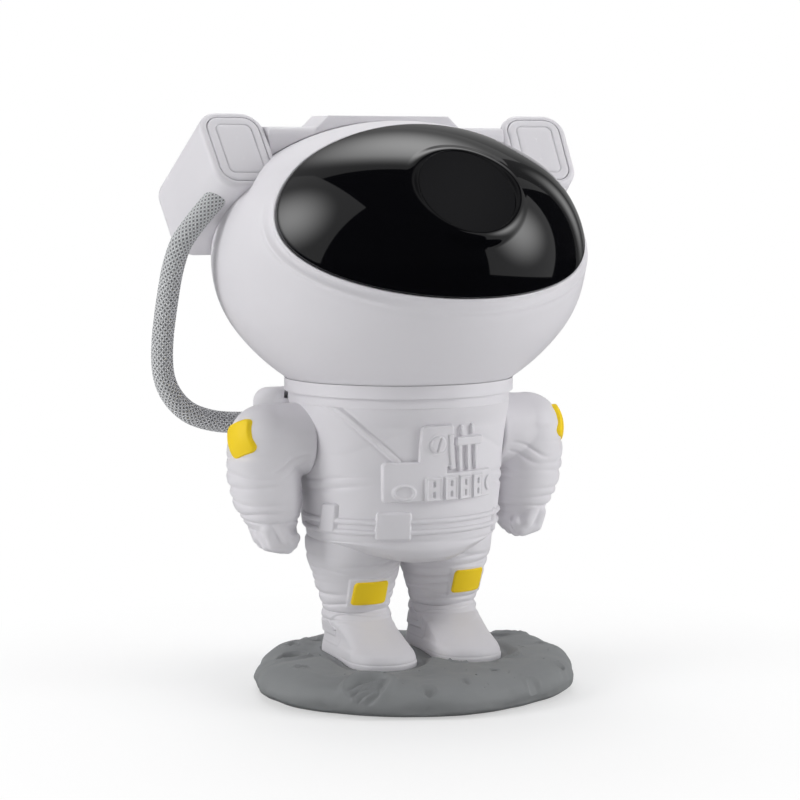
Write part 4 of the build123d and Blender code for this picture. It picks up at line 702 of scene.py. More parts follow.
def build_pebble_tree():
    """Tree that scatters stones over the upward faces of a mesh."""
    tree = bpy.data.node_groups.new("pebbles", "GeometryNodeTree")
    tree.interface.new_socket("Geometry", in_out="INPUT", socket_type="NodeSocketGeometry")
    density = tree.interface.new_socket("Density", in_out="INPUT", socket_type="NodeSocketFloat")
    size = tree.interface.new_socket("Size", in_out="INPUT", socket_type="NodeSocketFloat")
    tree.interface.new_socket("Geometry", in_out="OUTPUT", socket_type="NodeSocketGeometry")
    inside = add_node(tree, "NodeGroupInput").outputs
    normal = add_node(tree, "GeometryNodeInputNormal").outputs[0]
    rise = add_node(tree, "ShaderNodeSeparateXYZ", {0: normal}).outputs["Z"]
    upward = add_node(tree, "ShaderNodeMath", {0: rise, 1: 0.9}, operation="GREATER_THAN").outputs[0]
    scatter = add_node(tree, "GeometryNodeDistributePointsOnFaces", {
        "Mesh": inside["Geometry"], "Density": inside["Density"], "Selection": upward, "Seed": 12})
    stone = add_node(tree, "GeometryNodeMeshIcoSphere", {"Radius": inside["Size"], "Subdivisions": 2})
    turn = add_node(tree, "FunctionNodeRandomValue", {"Max": (0.5, 0.5, 6.28)}, data_type="FLOAT_VECTOR")
    stretch = add_node(tree, "FunctionNodeRandomValue", {"Min": (0.6, 0.6, 0.25), "Max": (1.6, 1.3, 0.5)},
                       data_type="FLOAT_VECTOR")
    place = add_node(tree, "GeometryNodeInstanceOnPoints", {
        "Points": scatter.outputs["Points"], "Instance": stone.outputs["Mesh"],
        "Rotation": turn.outputs["Value"], "Scale": stretch.outputs["Value"]})
    real = add_node(tree, "GeometryNodeRealizeInstances", {"Geometry": place.outputs["Instances"]})
    colour = add_node(tree, "GeometryNodeSetMaterial", {
        "Geometry": real.outputs["Geometry"], "Material": moon_grey})
    add_node(tree, "NodeGroupOutput", {"Geometry": colour.outputs["Geometry"]})
    return tree, density.identifier, size.identifier


def grown(name, base, tree, values, body):
    """Plain mesh out of a Geometry Nodes tree on a copy of a base mesh."""
    holder = placed(name + "_grower", base)
    modifier = holder.modifiers.new("grow", "NODES")
    modifier.node_group = tree
    for identifier, value in values.items():
        modifier[identifier] = value
    piece = smooth_object(name, settled(holder))
    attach(piece, body)
    return piece


pebble_tree, density_id, size_id = build_pebble_tree()
pebble_values = {density_id: PEBBLES_PER_SQUARE_METRE, size_id: PEBBLE_R}
pebbles = grown("moon_pebbles", moon_rock.data, pebble_tree, pebble_values, "stand")
print("pebbles:", len(pebbles.data.polygons) // PEBBLE_FACES)

# %% [markdown]
# ## The suit
# The suit is one moulding that looks like padded cloth, so its folds are
# furrows with wide, round shoulders between them. Each limb is a stack of
# rings, and each furrow is a line round the limb at some height, with its own
# tilt, width and depth, that fades out round the limb. A very soft random swell
# keeps the padding from looking machined.

# %% Furrows


def furrows(angle, z, lines):
    """How far the surface sinks along a list of furrows."""
    sink = np.zeros(np.shape(z))
    for z0, depth, width, middle, reach, tilt in lines:
        off = np.angle(np.exp(1j * (angle - math.radians(middle)))) / math.radians(reach)
        fade = np.exp(-(np.abs(off) ** 3))
        line = z0 + tilt * np.sin(off * 1.4) + 0.35 * np.sin(3 * angle + z0)
        sink += depth * fade * (crease_at(z, line, width) - 0.32 * bump_at(z, line, width * 4.5))
    return sink


def limb(stations, z_low, z_high, rows, around):
    """Rings of a limb from stations of height, centre and half sizes."""
    z = np.linspace(z_low, z_high, rows)
    turn = full_turn(around)
    cx, cy, hx, hy = (column[:, None] for column in follow_table(stations, z))
    centre = np.stack([np.broadcast_to(part, (rows, around)) for part in (cx, cy, z[:, None])], -1)
    arm = np.stack([hx * np.cos(turn), hy * np.sin(turn), np.zeros((rows, around))], -1)
    outward = arm / np.linalg.norm(arm, axis=-1, keepdims=True)
    return centre + arm, outward, np.broadcast_to(turn, (rows, around))


print("furrow depth at its line:", furrows(np.zeros(1), np.array([10.0]), [(10, 1, 1, 0, 60, 0)])[0].round(2))

# %% [markdown]
# The jacket is the widest ring stack. Its hem hangs lower at the front and back
# than over the hips, so the lowest rings dip there. Furrows cross the waist at
# each side, and one long strap runs from the collar to the chest panel.

# %% Jacket
JACKET = ((50, 0, 13.5, 31, 25), (53, 0, 13.5, 36.2, 30.0), (57, 0, 13.4, 38.4, 32.2),
          (64, 0, 13.2, 39.1, 32.5), (72, 0, 13, 40, 33), (90, 0, 12.5, 41.5, 32.9),
          (104, 0, 12.8, 43, 35.6), (110, 0, 14.3, 43.7, 41.0), (113, 0, 15.5, 44, 43.9))
WAIST = ((84.5, 0.75, 0.7, 205, 26, 1.2), (81.2, 0.95, 0.8, 208, 22, 1.5), (84.0, 0.7, 0.7, -25, 26, -1.2),
         (80.8, 0.8, 0.8, -28, 22, -1.5), (59.5, 0.5, 1.1, 235, 60, 1.8), (58.8, 0.5, 1.1, -55, 60, -1.8),
         (76.5, 0.5, 0.8, 150, 30, 1), (79.5, 0.5, 0.8, 30, 30, 1), (99, 0.35, 1.6, 235, 24, 5),
         (98, 0.35, 1.6, -55, 24, -5))
STRAP_TOP, STRAP_FOOT = np.array((-37.2, 112.4)), np.array((-16.6, 92.5))
HEM_Z = 50.6


def make_jacket():
    """The jacket with its furrows, its strap and its dipping hem."""
    rings, outward, turn = limb(JACKET, HEM_Z, 113.0, 190, 380)
    x, z = rings[..., 0], rings[..., 2]
    sink = furrows(turn, z, WAIST)
    calm = smooth_step(108 - z, 0, 8) * (1 - 0.7 * bump_at(z, 67, 8))
    sink -= 0.32 * lumps(rings, 15, 21) * calm
    along = (STRAP_FOOT - STRAP_TOP) / np.linalg.norm(STRAP_FOOT - STRAP_TOP)
    dx, dz = x - STRAP_TOP[0], z - STRAP_TOP[1]
    across = np.abs(dx * along[1] - dz * along[0])
    reach = dx * along[0] + dz * along[1]
    front = (rings[..., 1] < 12) & (reach > -4) & (reach < 31)
    sink -= np.where(front, 0.75 * (1 - smooth_step(across, 0.6, 1.1)) - 0.35 * bump_at(across, 1.5, 0.35), 0)
    rings = rings - outward * sink[..., None]
    dip = 1 - smooth_step(np.abs(rings[..., 0]), 4, 36)
    low = 1 - smooth_step(z, HEM_Z, 62)
    rings[..., 2] += low * (5.5 * (1 - dip) + 0.5)
    replaced = ("torso_front_shell", "torso_rear_shell")
    return mesh_piece("suit_jacket", *closed_stack(rings), suit_white, "stand", replaced)


jacket = make_jacket()
print("jacket:", len(jacket.data.polygons), "faces")

# %% [markdown]
# The trousers are the lower part of the same moulding: two legs that widen from
# the ankle to the hip. A cloth simulation could fold them, but furrows placed
# one by one keep each fold where it belongs. Each leg has its own list of them,
# and a flat bed where its knee patch sits.

# %% Trousers
LEG = ((27, 0, 15, 12.7, 12.7), (30, 0, 15, 13.1, 13.1), (36, 0, 15, 14.7, 14.9), (44, 0, 15, 17.0, 17.2),
       (52, 0, 15, 19.3, 19.6), (58, 0, 15, 19.7, 20.2), (62, 0, 15, 17, 18))
LEG_FURROWS = {
    -1: ((30.2, 0.9, 0.6, 270, 120, 0.6), (33.0, 0.8, 0.6, 200, 75, 0.9), (33.6, 0.7, 0.6, 330, 70, -0.9),
         (37.2, 0.8, 0.7, 190, 55, 0.8), (38.0, 0.8, 0.6, 345, 40, 0.8), (41.5, 0.7, 0.7, 350, 42, 1.2),
         (45.6, 0.8, 0.8, 315, 60, 1.6), (48.0, 0.9, 0.7, 330, 55, 1.8), (50.8, 0.9, 0.8, 300, 70, 2.2),
         (53.6, 0.8, 0.7, 320, 55, 1.8), (47.0, 0.6, 0.8, 215, 40, -1.0), (40.8, 0.7, 0.8, 100, 90, 1.0),
         (46, 0.8, 0.9, 90, 90, -1.2), (35.5, 0.8, 0.8, 90, 90, 1.0), (51.5, 0.8, 0.8, 100, 80, 1.5)),
    1: ((30.4, 0.9, 0.6, 270, 120, 0.4), (33.2, 0.9, 0.6, 262, 55, 0.7), (35.6, 0.8, 0.6, 245, 50, -0.5),
        (38.8, 0.8, 0.7, 215, 45, 0.8), (42.8, 0.8, 0.7, 222, 42, 0.6), (46.8, 0.8, 0.7, 240, 60, 1.0),
        (49.6, 0.9, 0.7, 250, 60, 0.8), (52.4, 0.9, 0.8, 235, 60, -1.0), (38.2, 0.7, 0.7, 345, 45, 0.8),
        (43.6, 0.7, 0.8, 350, 45, -0.8), (48.5, 0.8, 0.8, 335, 55, 1.2), (40.8, 0.7, 0.8, 80, 90, 1.0),
        (46, 0.8, 0.9, 90, 90, 1.2), (35.5, 0.8, 0.8, 90, 90, -1.0), (51.5, 0.8, 0.8, 80, 80, -1.5)),
}
KNEE_BOX = {-1: (-19.3, 38.2, 7.4, 4.8), 1: (23.1, 40.2, 7.2, 4.8)}
LEG_X = 19.3


def make_trousers():
    """Both legs, each with its own furrows and a flat bed for its patch."""
    shells = []
    for side in (-1, 1):
        stations = [(z, side * LEG_X, cy, hx, hy) for z, _, cy, hx, hy in LEG]
        rings, outward, turn = limb(stations, 27.0, 61.5, 130, 220)
        z = rings[..., 2]
        sink = furrows(turn, z, LEG_FURROWS[side]) - 0.35 * lumps(rings, 8, 30 + side)
        mx, mz, half_w, half_h = KNEE_BOX[side]
        bed = np.maximum(np.abs(rings[..., 0] - mx) - half_w, np.abs(z - mz) - half_h)
        on_bed = (1 - smooth_step(bed, 0.8, 1.5)) * (rings[..., 1] < 10)
        sink = sink * (1 - on_bed) - 0.5 * on_bed
        shells.append(closed_stack(rings - outward * sink[..., None]))
    return mesh_piece("suit_trousers", *join_lists(shells), suit_white, "stand", ("legs",))


trousers = make_trousers()
print("trousers:", len(trousers.data.polygons), "faces")

# %% [markdown]
# A boot is long and rounded at the toe. Its rings change from the shape of the
# sole to the round ankle. A raised flap lies over the instep, and the sole is
# marked off by a thin furrow.

# %% Boots
BOOT = ((10.2, 0, -8.4, 13.8, 18, 13.0), (12.6, 0, -8.4, 13.9, 18, 13.1), (14.4, 0, -8.1, 13.6, 18, 12.9),
        (16.4, 0, -7.2, 13.1, 18, 12.5), (18.2, 0, -5.4, 12.3, 18, 12.0), (20.0, 0, -2.2, 11.9, 18, 11.8),
        (22.0, 0.2, 1.8, 11.8, 17.8, 11.8), (24.0, 0.4, 6.0, 12.0, 17.2, 12.0),
        (26.0, 0.6, 9.8, 12.2, 16.4, 12.2), (28.0, 0.6, 13.0, 12.5, 15.6, 12.6),
        (29.8, 0.6, 14.8, 12.3, 15.2, 12.3))


def boot_ring(x, toe_y, toe_r, heel_y, heel_r):
    """Outline of a boot: a toe circle and a heel circle with straight sides."""
    arc = np.linspace(0, math.pi, 90)
    side = np.linspace(0, 1, 62)[1:-1][:, None]
    heel = np.stack([x + heel_r * np.cos(arc), heel_y + heel_r * np.sin(arc)], -1)
    toe = np.stack([x - toe_r * np.cos(arc), toe_y - toe_r * np.sin(arc)], -1)
    return np.vstack([heel, heel[-1] + (toe[0] - heel[-1]) * side, toe, toe[-1] + (heel[0] - toe[-1]) * side])


def boot_rings(side):
    """All rings of one boot and the directions that face outwards."""
    heights = np.linspace(10.2, 29.8, 100)
    rings = []
    for z, dx, *circles in zip(heights, *follow_table(BOOT, heights)):
        ring = boot_ring(side * (BOOT_X + dx), *circles)
        rings.append(np.column_stack([ring, np.full(len(ring), z)]))
    rings = np.array(rings)
    ahead = np.roll(rings, -1, 1) - np.roll(rings, 1, 1)
    outward = np.stack([ahead[..., 1], -ahead[..., 0], np.zeros(ahead.shape[:2])], -1)
    outward /= np.linalg.norm(outward, axis=-1, keepdims=True)
    return rings, outward


def make_boots():
    """Both boots, each with its flap, its sole's furrow and its ankle furrow."""
    shells = []
    for side in (-1, 1):
        rings, outward = boot_rings(side)
        x, y, z = rings[..., 0] - side * BOOT_X, rings[..., 1], rings[..., 2]
        flap = smooth_step(y + 6.0 - 0.07 * x**2, 0.0, 0.8) * smooth_step(z, 16.6, 17.4)
        upper_flap = smooth_step(y - 1.0 - 0.05 * x**2, 0.0, 0.8) * smooth_step(z, 20.2, 21.0)
        sink = 0.24 * crease_at(z, 13.6, 0.22) * smooth_step(-y, -8, 6) - 0.22 * flap - 0.6 * upper_flap
        sink += 0.45 * crease_at(z, 27.2 - 0.05 * y, 0.4)
        sink -= 0.2 * lumps(rings, 8, 40 + side) * smooth_step(z, 16, 18)
        shells.append(closed_stack(rings - outward * sink[..., None]))
    return mesh_piece("suit_boots", *join_lists(shells), suit_white, "stand", ("boots",))


boots = make_boots()
print("boots:", len(boots.data.polygons), "faces")

# %% [markdown]
# ## Arms
# An arm is several closed shapes that run into each other: the flat round
# shoulder, the padded sleeve, the palm, four curled fingers and a thumb. A voxel
# remesh puts one skin round them all, smoothing runs the joins together, and
# then the sleeve's furrows are pressed in along the skin's own normals.

# %% Shapes that make up an arm


def ball(centre, radii, rows=20, around=36):
    """Closed ellipsoid."""
    fall = np.linspace(0.06, math.pi - 0.06, rows)[:, None]
    turn = full_turn(around)[None, :]
    rings = np.stack([np.sin(fall) * np.cos(turn) * radii[0], np.sin(fall) * np.sin(turn) * radii[1],
                      np.broadcast_to(np.cos(fall) * radii[2], (rows, around))], -1)
    return closed_stack(rings + np.array(centre, float))


def rod(start, end, r_start, r_end):
    """Closed rod with round ends between two points."""
    start, end = np.array(start, float), np.array(end, float)
    ahead = (end - start) / np.linalg.norm(end - start)
    side = np.cross(ahead, (0.31, 0.2, 0.93))
    side /= np.linalg.norm(side)
    turn = full_turn(24)[:, None]
    circle = np.cos(turn) * side + np.sin(turn) * np.cross(ahead, side)
    bend = np.linspace(0, 1.45, 6)
    rings = []
    for centre, r, sign, angles in ((start, r_start, -1, bend[::-1]), (end, r_end, 1, bend)):
        for a in angles:
            rings.append(centre + sign * ahead * r * math.sin(a) + r * math.cos(a) * circle)
    return closed_stack(np.array(rings))


SLEEVE = ((64.5, 54.3, 15.5, 9.0, 10.4), (67, 54.7, 15.5, 10.4, 11.8), (76, 56.4, 15.5, 13.4, 13.8),
          (88, 57.3, 15.5, 14.5, 14.1), (100.5, 57, 15.5, 14.4, 14.4), (106, 57, 15.5, 11.5, 12.0))
SLEEVE_FURROWS = ((92.5, 0.8, 1.0, 180, 62, 1.5), (86.5, 1.0, 1.0, 190, 70, -1.4),
                  (80.8, 1.1, 1.0, 185, 75, 1.2), (75.4, 1.1, 0.9, 190, 80, -1.0),
                  (70.6, 1.2, 0.8, 190, 95, 0.8), (91.0, 0.9, 0.8, 285, 26, 3.0),
                  (88.0, 0.8, 0.8, 300, 24, 3.2), (84.0, 0.7, 1.0, 20, 60, 1.2),
                  (78.0, 0.7, 1.0, 15, 60, -1.2), (88.5, 0.9, 1.1, 90, 70, 1.2),
                  (82.5, 0.9, 1.1, 95, 70, -1.2), (76.5, 0.9, 1.0, 90, 70, 1.0),
                  (67.6, 1.0, 0.7, 180, 400, 0.0))
FINGERS = ((7.4, 2.9, 0.6), (12.3, 3.05, 0.0), (17.2, 3.0, 0.2), (21.8, 2.7, 0.9))
SHOULDER_X, SHOULDER_Y, SHOULDER_Z, SHOULDER_R = 57, 15.5, 98.5, 14.4
SHOULDER_DISC = ((40.7, 12.5), (40.7, 13.9), (41.4, 14.3), (50, 14.4), (58, 14.2), (62, 13.4))


def arm_parts(side):
    """Closed shapes of one arm; side is -1 for the figure's right."""
    def at(x, y, z):
        return (side * x, y, z)

    stations = [(z, side * x, cy, hx, hy) for z, x, cy, hx, hy in SLEEVE]
    parts = [closed_stack(limb(stations, 64.6, 105.8, 60, 72)[0])]
    disc = [[at(x, SHOULDER_Y + r * math.cos(a), SHOULDER_Z + r * math.sin(a)) for a in full_turn(90)]
            for x, r in SHOULDER_DISC]
    parts.append(closed_stack(np.array(disc)))
    parts.append(ball(at(SHOULDER_X, SHOULDER_Y, SHOULDER_Z), (SHOULDER_R,) * 3, 30, 60))
    parts.append(ball(at(53.4, 15.0, 62.4), (8.6, 10.2, 6.8)))
    parts.append(ball(at(54.4, 15.4, 67.0), (9.6, 10.2, 3.4)))
    for y, thick, raised in FINGERS:
        knuckle, bend = at(57.4, y - 0.2, 58.6 + raised), at(51.4, y - 0.4, 57.0 + raised)
        parts.append(rod(at(59.3, y, 64.5), knuckle, thick, thick))
        parts.append(rod(knuckle, bend, thick, thick * 0.95))
        parts.append(rod(bend, at(48.4, y - 0.3, 61.0), thick * 0.95, thick * 0.85))
    parts.append(rod(at(55.5, 6.4, 66.0), at(52.4, 5.4, 61.2), 2.9, 2.6))
    parts.append(rod(at(52.4, 5.4, 61.2), at(49.2, 7.0, 58.6), 2.6, 2.2))
    return parts


def make_arm(name, side, body, node):
    """One arm, with furrows pressed into the skin of its sleeve."""
    points, faces, normals = merged_skin(arm_parts(side), 0.52, 7)
    x, z = np.abs(points[:, 0]), points[:, 2]
    axis_x = follow_table(SLEEVE, z)[0] * side
    angle = np.arctan2(points[:, 1] - SHOULDER_Y, (points[:, 0] - axis_x) * -side)
    sleeve = smooth_step(z, 65.5, 68) * (1 - smooth_step(z, 95, 100)) * smooth_step(x, 42.2, 44.5)
    sink = furrows(angle, z, SLEEVE_FURROWS) * sleeve
    outer_side = smooth_step(x, 44.0, 50.0)
    sink -= sleeve * outer_side * (0.35 + 0.3 * lumps(points, 9, 50 + side))
    points = points - normals * sink[:, None]
    return mesh_piece(name, points, faces, suit_white, body, (node,))


right_sleeve = make_arm("right_suit_arm", -1, "right_arm_body", "right_arm")
left_sleeve = make_arm("left_suit_arm", 1, "left_arm_body", "left_arm")
print("arms:", len(right_sleeve.data.polygons), len(left_sleeve.data.polygons), "faces")

# %% [markdown]
# ## A small moulding from the CAD
# The bar between the pods has the right shape in the CAD, but its edges are
# sharp. A copy of that node is merged, remeshed in small voxels and smoothed a
# few times, which gives it the soft edges of a moulding. The copy then
# replaces the node.

# %% Soft copy of a CAD node


def softened(node, body, material, slot, voxel, rounds):
    """Copy of a CAD node with soft edges, which replaces it."""
    mesh = frame["nodes"][node].data
    points, index = np.unique(np.round(read_points(mesh), 4), axis=0, return_inverse=True)
    index = index.ravel()
    merged = [tuple(int(index[i]) for i in p.vertices) for p in mesh.polygons]
    merged = [f for f in merged if len(set(f)) == len(f)]
    places, faces, _ = merged_skin([(points, merged)], voxel, rounds)
    return mesh_piece(node + "_soft", places, faces, material, body, (node,), slot)


soft_bar = softened("cross_bar", "head", suit_white, "suit_white", 0.5, 6)
print("soft bar:", len(soft_bar.data.polygons), "faces")

# %% [markdown]
# ## The chest panel
# The panel is a relief on the front of the jacket, so it is made as a height
# field: a fine grid of points across and up, and a height over the jacket for
# each. Each detail is a flat shape with soft sides, given by its distance in
# the plane, and the details are laid over each other.

# %% Chest relief
CHEST_BED = -1.2
DISC_X, DISC_Z = -0.9, 98.3
RIBS = ((5.2, 95.2, 2.7, 14.2, -0.14, 3.5), (9.4, 92.6, 2.1, 10.4, -0.08, 2.9),
        (13.5, 92.6, 2.1, 10.4, -0.08, 2.9), (17.4, 92.6, 2.0, 10.4, -0.08, 2.8),
        (13.6, 99.0, 13.2, 3.6, 0.0, 3.1), (9.6, 103.4, 2.0, 4.4, -0.25, 2.4),
        (14.6, 103.7, 2.0, 4.4, -0.25, 2.4))
CELLS = ((-2.3, 6.8), (5.2, 6.0), (11.8, 5.6), (18.2, 5.3))


def plate(x, z, cx, cz, w, h, corner=0.6, lean=0.0, side=0.35):
    """1 on a rounded rectangle, falling to 0 over its soft side."""
    x = x - lean * (z - cz)
    dx, dz = np.abs(x - cx) - w / 2 + corner, np.abs(z - cz) - h / 2 + corner
    away = np.hypot(np.maximum(dx, 0), np.maximum(dz, 0)) + np.minimum(np.maximum(dx, dz), 0) - corner
    return 1 - smooth_step(away, -side, side)


def oval(x, z, cx, cz, rx, rz, side=0.12):
    """1 on an oval, falling to 0 over its soft side."""
    return 1 - smooth_step(np.hypot((x - cx) / rx, (z - cz) / rz), 1 - side, 1 + side)


def chest_height(x, z):
    """Height of the relief over the jacket."""
    lower = plate(x, z, 2.4, 81.6, 48, 11.0, 1.6)
    left_step = plate(x, z, -8.9, 83.9, 25.4, 15.6, 1.6)
    tall = plate(x, z, -1.2, 97.6, 13.4, 16.6, 1.4)
    height = CHEST_BED + 2.9 * np.maximum(np.maximum(lower, left_step), tall)
    disc = oval(x, z, DISC_X, DISC_Z, 3.1, 3.1)
    slot_line = plate(x, z, DISC_X, DISC_Z, 0.55, 5.4, 0.2, lean=0.2, side=0.25)
    height += 1.0 * disc - 0.9 * disc * slot_line
    height += 0.25 * bump_at(np.hypot(x - DISC_X, z - DISC_Z), 4.0, 0.4)
    for cx, cz, w, h, lean, top in RIBS:
        height = np.maximum(height, CHEST_BED + top * plate(x, z, cx, cz, w, h, 0.7, lean, 0.4))
    ring = oval(x, z, -13.9, 80.0, 4.4, 3.0) - oval(x, z, -13.9, 80.0, 3.5, 2.2)
    height += 0.75 * ring
    for cx, w in CELLS:
        cell = plate(x, z, cx, 81.0, w, 9.2, 0.5, side=0.3)
        border = cell - plate(x, z, cx, 81.0, w - 1.5, 7.7, 0.4, side=0.3)
        height += 0.7 * cell + 0.3 * border
        for cz in (83.0, 78.9):
            height -= 0.75 * plate(x, z, cx, cz, 0.9, 2.2, 0.3, side=0.25)
    moon = oval(x, z, 24.2, 81.6, 1.8, 3.0) * (1 - oval(x, z, 25.5, 81.6, 1.6, 2.8))
    return height + 0.8 * moon


def make_chest_panel():
    """The relief as a closed sheet on the front of the jacket."""
    x, z = np.meshgrid(np.arange(-24.5, 29.51, 0.26), np.arange(74.6, 107.9, 0.26))
    cy, hx, hy = follow_table(JACKET, z)[1:]
    front = cy - hy * np.sqrt(np.clip(1 - (x / hx) ** 2, 0.02, 1))
    outer = np.stack([x, front - chest_height(x, z), z], -1)
    inner = np.stack([x, front + 1.9, z], -1)
    return mesh_piece("chest_relief", *sheet_pair(outer, inner), suit_white, "stand", ("chest_panel",))


chest_relief = make_chest_panel()
print("chest relief:", len(chest_relief.data.polygons), "faces")

# %% [markdown]
# ## Belt, buckles and patches
# The belt is two soft cords round the hips, gathered by pads. It is a relief
# like the chest panel, but wrapped round the jacket. The yellow patches lie
# on the knees and the shoulders in the same way, with rounded borders, and so
# does a small buckle on each boot.

# %% Belt and patches
BELT_BED, CORD_R = -0.7, 1.35
BELT_PADS = ((-16.6, 12.8, 61.2, 72.2, 2.0), (-36.4, 3.8, 63.2, 75.0, 2.0), (30.4, 2.6, 60.6, 70.2, 1.8))
PATCH_STEP = 0.25
PATCH_LEAN = math.radians(-24)


def make_belt():
    """The two cords and their pads, wrapped round the jacket."""
    turn, z = np.meshgrid(np.radians(np.linspace(155, 385, 660)), np.arange(60.6, 77.2, 0.28))
    cy, hx, hy = follow_table(JACKET, z)[1:]
    across = hx * np.cos(turn)
    cords = [np.sqrt(np.clip(1 - ((z - middle) / CORD_R) ** 2, 0, 1)) for middle in (64.0, 68.2)]
    height = BELT_BED + 1.8 * np.maximum(*cords)
    front = np.sin(turn) < 0.3
    for x, w, low, high, raised in BELT_PADS:
        pad = plate(across, z, x, (low + high) / 2, w, high - low, 1.2, side=0.7)
        height = np.maximum(height, BELT_BED + raised * pad * front)
    first, last = turn.min(), turn.max()
    ends = smooth_step(turn, first, first + 0.02) * (1 - smooth_step(turn, last - 0.02, last))
    height = BELT_BED + (height - BELT_BED) * ends

    def at(grow):
        return np.stack([(hx + grow) * np.cos(turn), cy + (hy + grow) * np.sin(turn), z], -1)

    return mesh_piece("hip_belt", *sheet_pair(at(height), at(-1.6 + 0 * z)), suit_white, "stand", ("belt",))


def make_knee_patches():
    """A yellow patch on the front of each leg."""
    shells = []
    for side in (-1, 1):
        mx, mz, half_w, half_h = KNEE_BOX[side]
        x, z = np.meshgrid(np.arange(mx - half_w - 1, mx + half_w + 1.01, PATCH_STEP),
                           np.arange(mz - half_h - 1, mz + half_h + 1.01, PATCH_STEP))
        cy, hx, hy = follow_table(LEG, z)[1:]
        front = cy - hy * np.sqrt(np.clip(1 - ((x - side * LEG_X) / hx) ** 2, 0.05, 1))
        raised = -0.6 + 1.95 * plate(x, z, mx, mz, 2 * half_w, 2 * half_h, 1.6, 0.06, 0.45)
        shells.append(sheet_pair(np.stack([x, front - raised, z], -1), np.stack([x, front + 1.2, z], -1)))
    return mesh_piece("knee_patch_pair", *join_lists(shells), patch_yellow, "stand",
                      ("knee_patches",), "patch_yellow")


def make_shoulder_patch(name, side, body, node):
    """A yellow patch on the ball of one shoulder."""
    a, b = np.meshgrid(np.arange(-12.5, 6.01, PATCH_STEP), np.arange(-9.5, 12.01, PATCH_STEP))
    u = (a + 5.0) * math.cos(PATCH_LEAN) + (b - 1.8) * math.sin(PATCH_LEAN)
    v = -(a + 5.0) * math.sin(PATCH_LEAN) + (b - 1.8) * math.cos(PATCH_LEAN)
    raised = -0.9 + 2.3 * plate(u, v, 0, 0, 11.0, 13.6, 2.6, side=0.9)
    far = np.sqrt(np.clip(SHOULDER_R**2 - a**2 - b**2, 4.0, None))
    ray = np.stack([side * far, a, b], -1)
    ray /= np.linalg.norm(ray, axis=-1, keepdims=True)
    middle = np.array((side * SHOULDER_X, SHOULDER_Y, SHOULDER_Z))
    outer, inner = middle + ray * (SHOULDER_R + raised)[..., None], middle + ray * 12.8
    return mesh_piece(name, *sheet_pair(outer, inner), patch_yellow, body, (node,), "patch_yellow")


belt = make_belt()
knee_patches = make_knee_patches()
right_patch = make_shoulder_patch("right_patch", -1, "right_arm_body", "right_shoulder_patch")
left_patch = make_shoulder_patch("left_patch", 1, "left_arm_body", "left_shoulder_patch")
print("belt:", len(belt.data.polygons), "knee patches:", len(knee_patches.data.polygons), "faces")

# %% [markdown]
# The buckle on each boot is a small plate on its right side. It is cut from
# the boot's own rings, so it hugs the boot, and it is raised by soft steps.

# %% Boot buckles


def make_buckles():
    """A small raised plate on each boot."""
    shells = []
    for side, low, high, middle, wide in ((-1, 22.6, 27.4, 9.4, 5.0), (1, 23.0, 28.6, 13.2, 8.0)):
        rings, outward = boot_rings(side)
        rows = (rings[:, 0, 2] > low - 1) & (rings[:, 0, 2] < high + 1)
        ring = rings[rows]
        beside = ring[0, :, 0] < side * BOOT_X - 6
        columns = np.where(beside & (np.abs(ring[0, :, 1] - middle) < wide / 2 + 2))[0]
        ring, out = ring[:, columns], outward[rows][:, columns]
        y, z = ring[..., 1], ring[..., 2]
        raised = -0.8 + 2.0 * plate(y, z, middle, (low + high) / 2, wide, high - low, 0.9, side=0.4)
        shells.append(sheet_pair(ring + out * raised[..., None], ring - out * 1.4))
    return mesh_piece("boot_buckles", *join_lists(shells), suit_white, "stand", ("boot_straps",))


buckles = make_buckles()
print("buckles:", len(buckles.data.polygons), "faces")

# %% [markdown]
# ## The helmet
# The helmet is a wide round body, turned about the upright axis, with an oval
# opening tilted upwards. Its skin is a grid that starts at the rim of the
# opening and runs back round the head to one point behind. Each grid point is
# found by going from the middle in some direction until the turned profile is
# reached. Just outside the lower rim the skin dips and then rises to a soft lip.

# %% Helmet profile
HEAD_Z = 168.4
HEAD = np.array((0.0, 15.5, HEAD_Z))
LOOK_UP = math.radians(24)
FORWARD = np.array((0, -math.cos(LOOK_UP), math.sin(LOOK_UP)))
UPWARD = np.array((0, math.sin(LOOK_UP), math.cos(LOOK_UP)))
SIDEWAYS = np.array((1.0, 0, 0))
SIDE_OUT, SIDE_R = 27.5, 46.5
UNDER_Z, CROWN_Z = 189, 122.5
UNDER_R = math.hypot(SIDE_OUT, UNDER_Z - HEAD_Z) + SIDE_R
CROWN_R = math.hypot(SIDE_OUT, HEAD_Z - CROWN_Z) + SIDE_R


def profile_line():
    """Points of the helmet's outline from its lowest to its highest point."""
    low_end = math.atan2(SIDE_OUT, UNDER_Z - HEAD_Z)
    high_end = math.atan2(SIDE_OUT, HEAD_Z - CROWN_Z)
    side_angles = np.linspace(low_end - math.pi / 2, math.pi / 2 - high_end, 2400)
    under = [(UNDER_R * math.sin(a), UNDER_Z - UNDER_R * math.cos(a)) for a in np.linspace(0, low_end, 1600)]
    side = [(SIDE_OUT + SIDE_R * math.cos(a), HEAD_Z + SIDE_R * math.sin(a)) for a in side_angles]
    crown = [(CROWN_R * math.sin(a), CROWN_Z + CROWN_R * math.cos(a)) for a in np.linspace(high_end, 0, 1600)]
    return np.array(under + side[1:-1] + crown)


outline = profile_line()
outline_rise = np.arctan2(outline[:, 1] - HEAD[2], outline[:, 0])
outline_reach = np.hypot(outline[:, 0], outline[:, 1] - HEAD[2])


def helmet_reach(direction):
    """Distance from the middle of the head to the skin in each direction."""
    rise = np.arctan2(direction[..., 2], np.hypot(direction[..., 0], direction[..., 1]))
    return np.interp(rise, outline_rise, outline_reach)


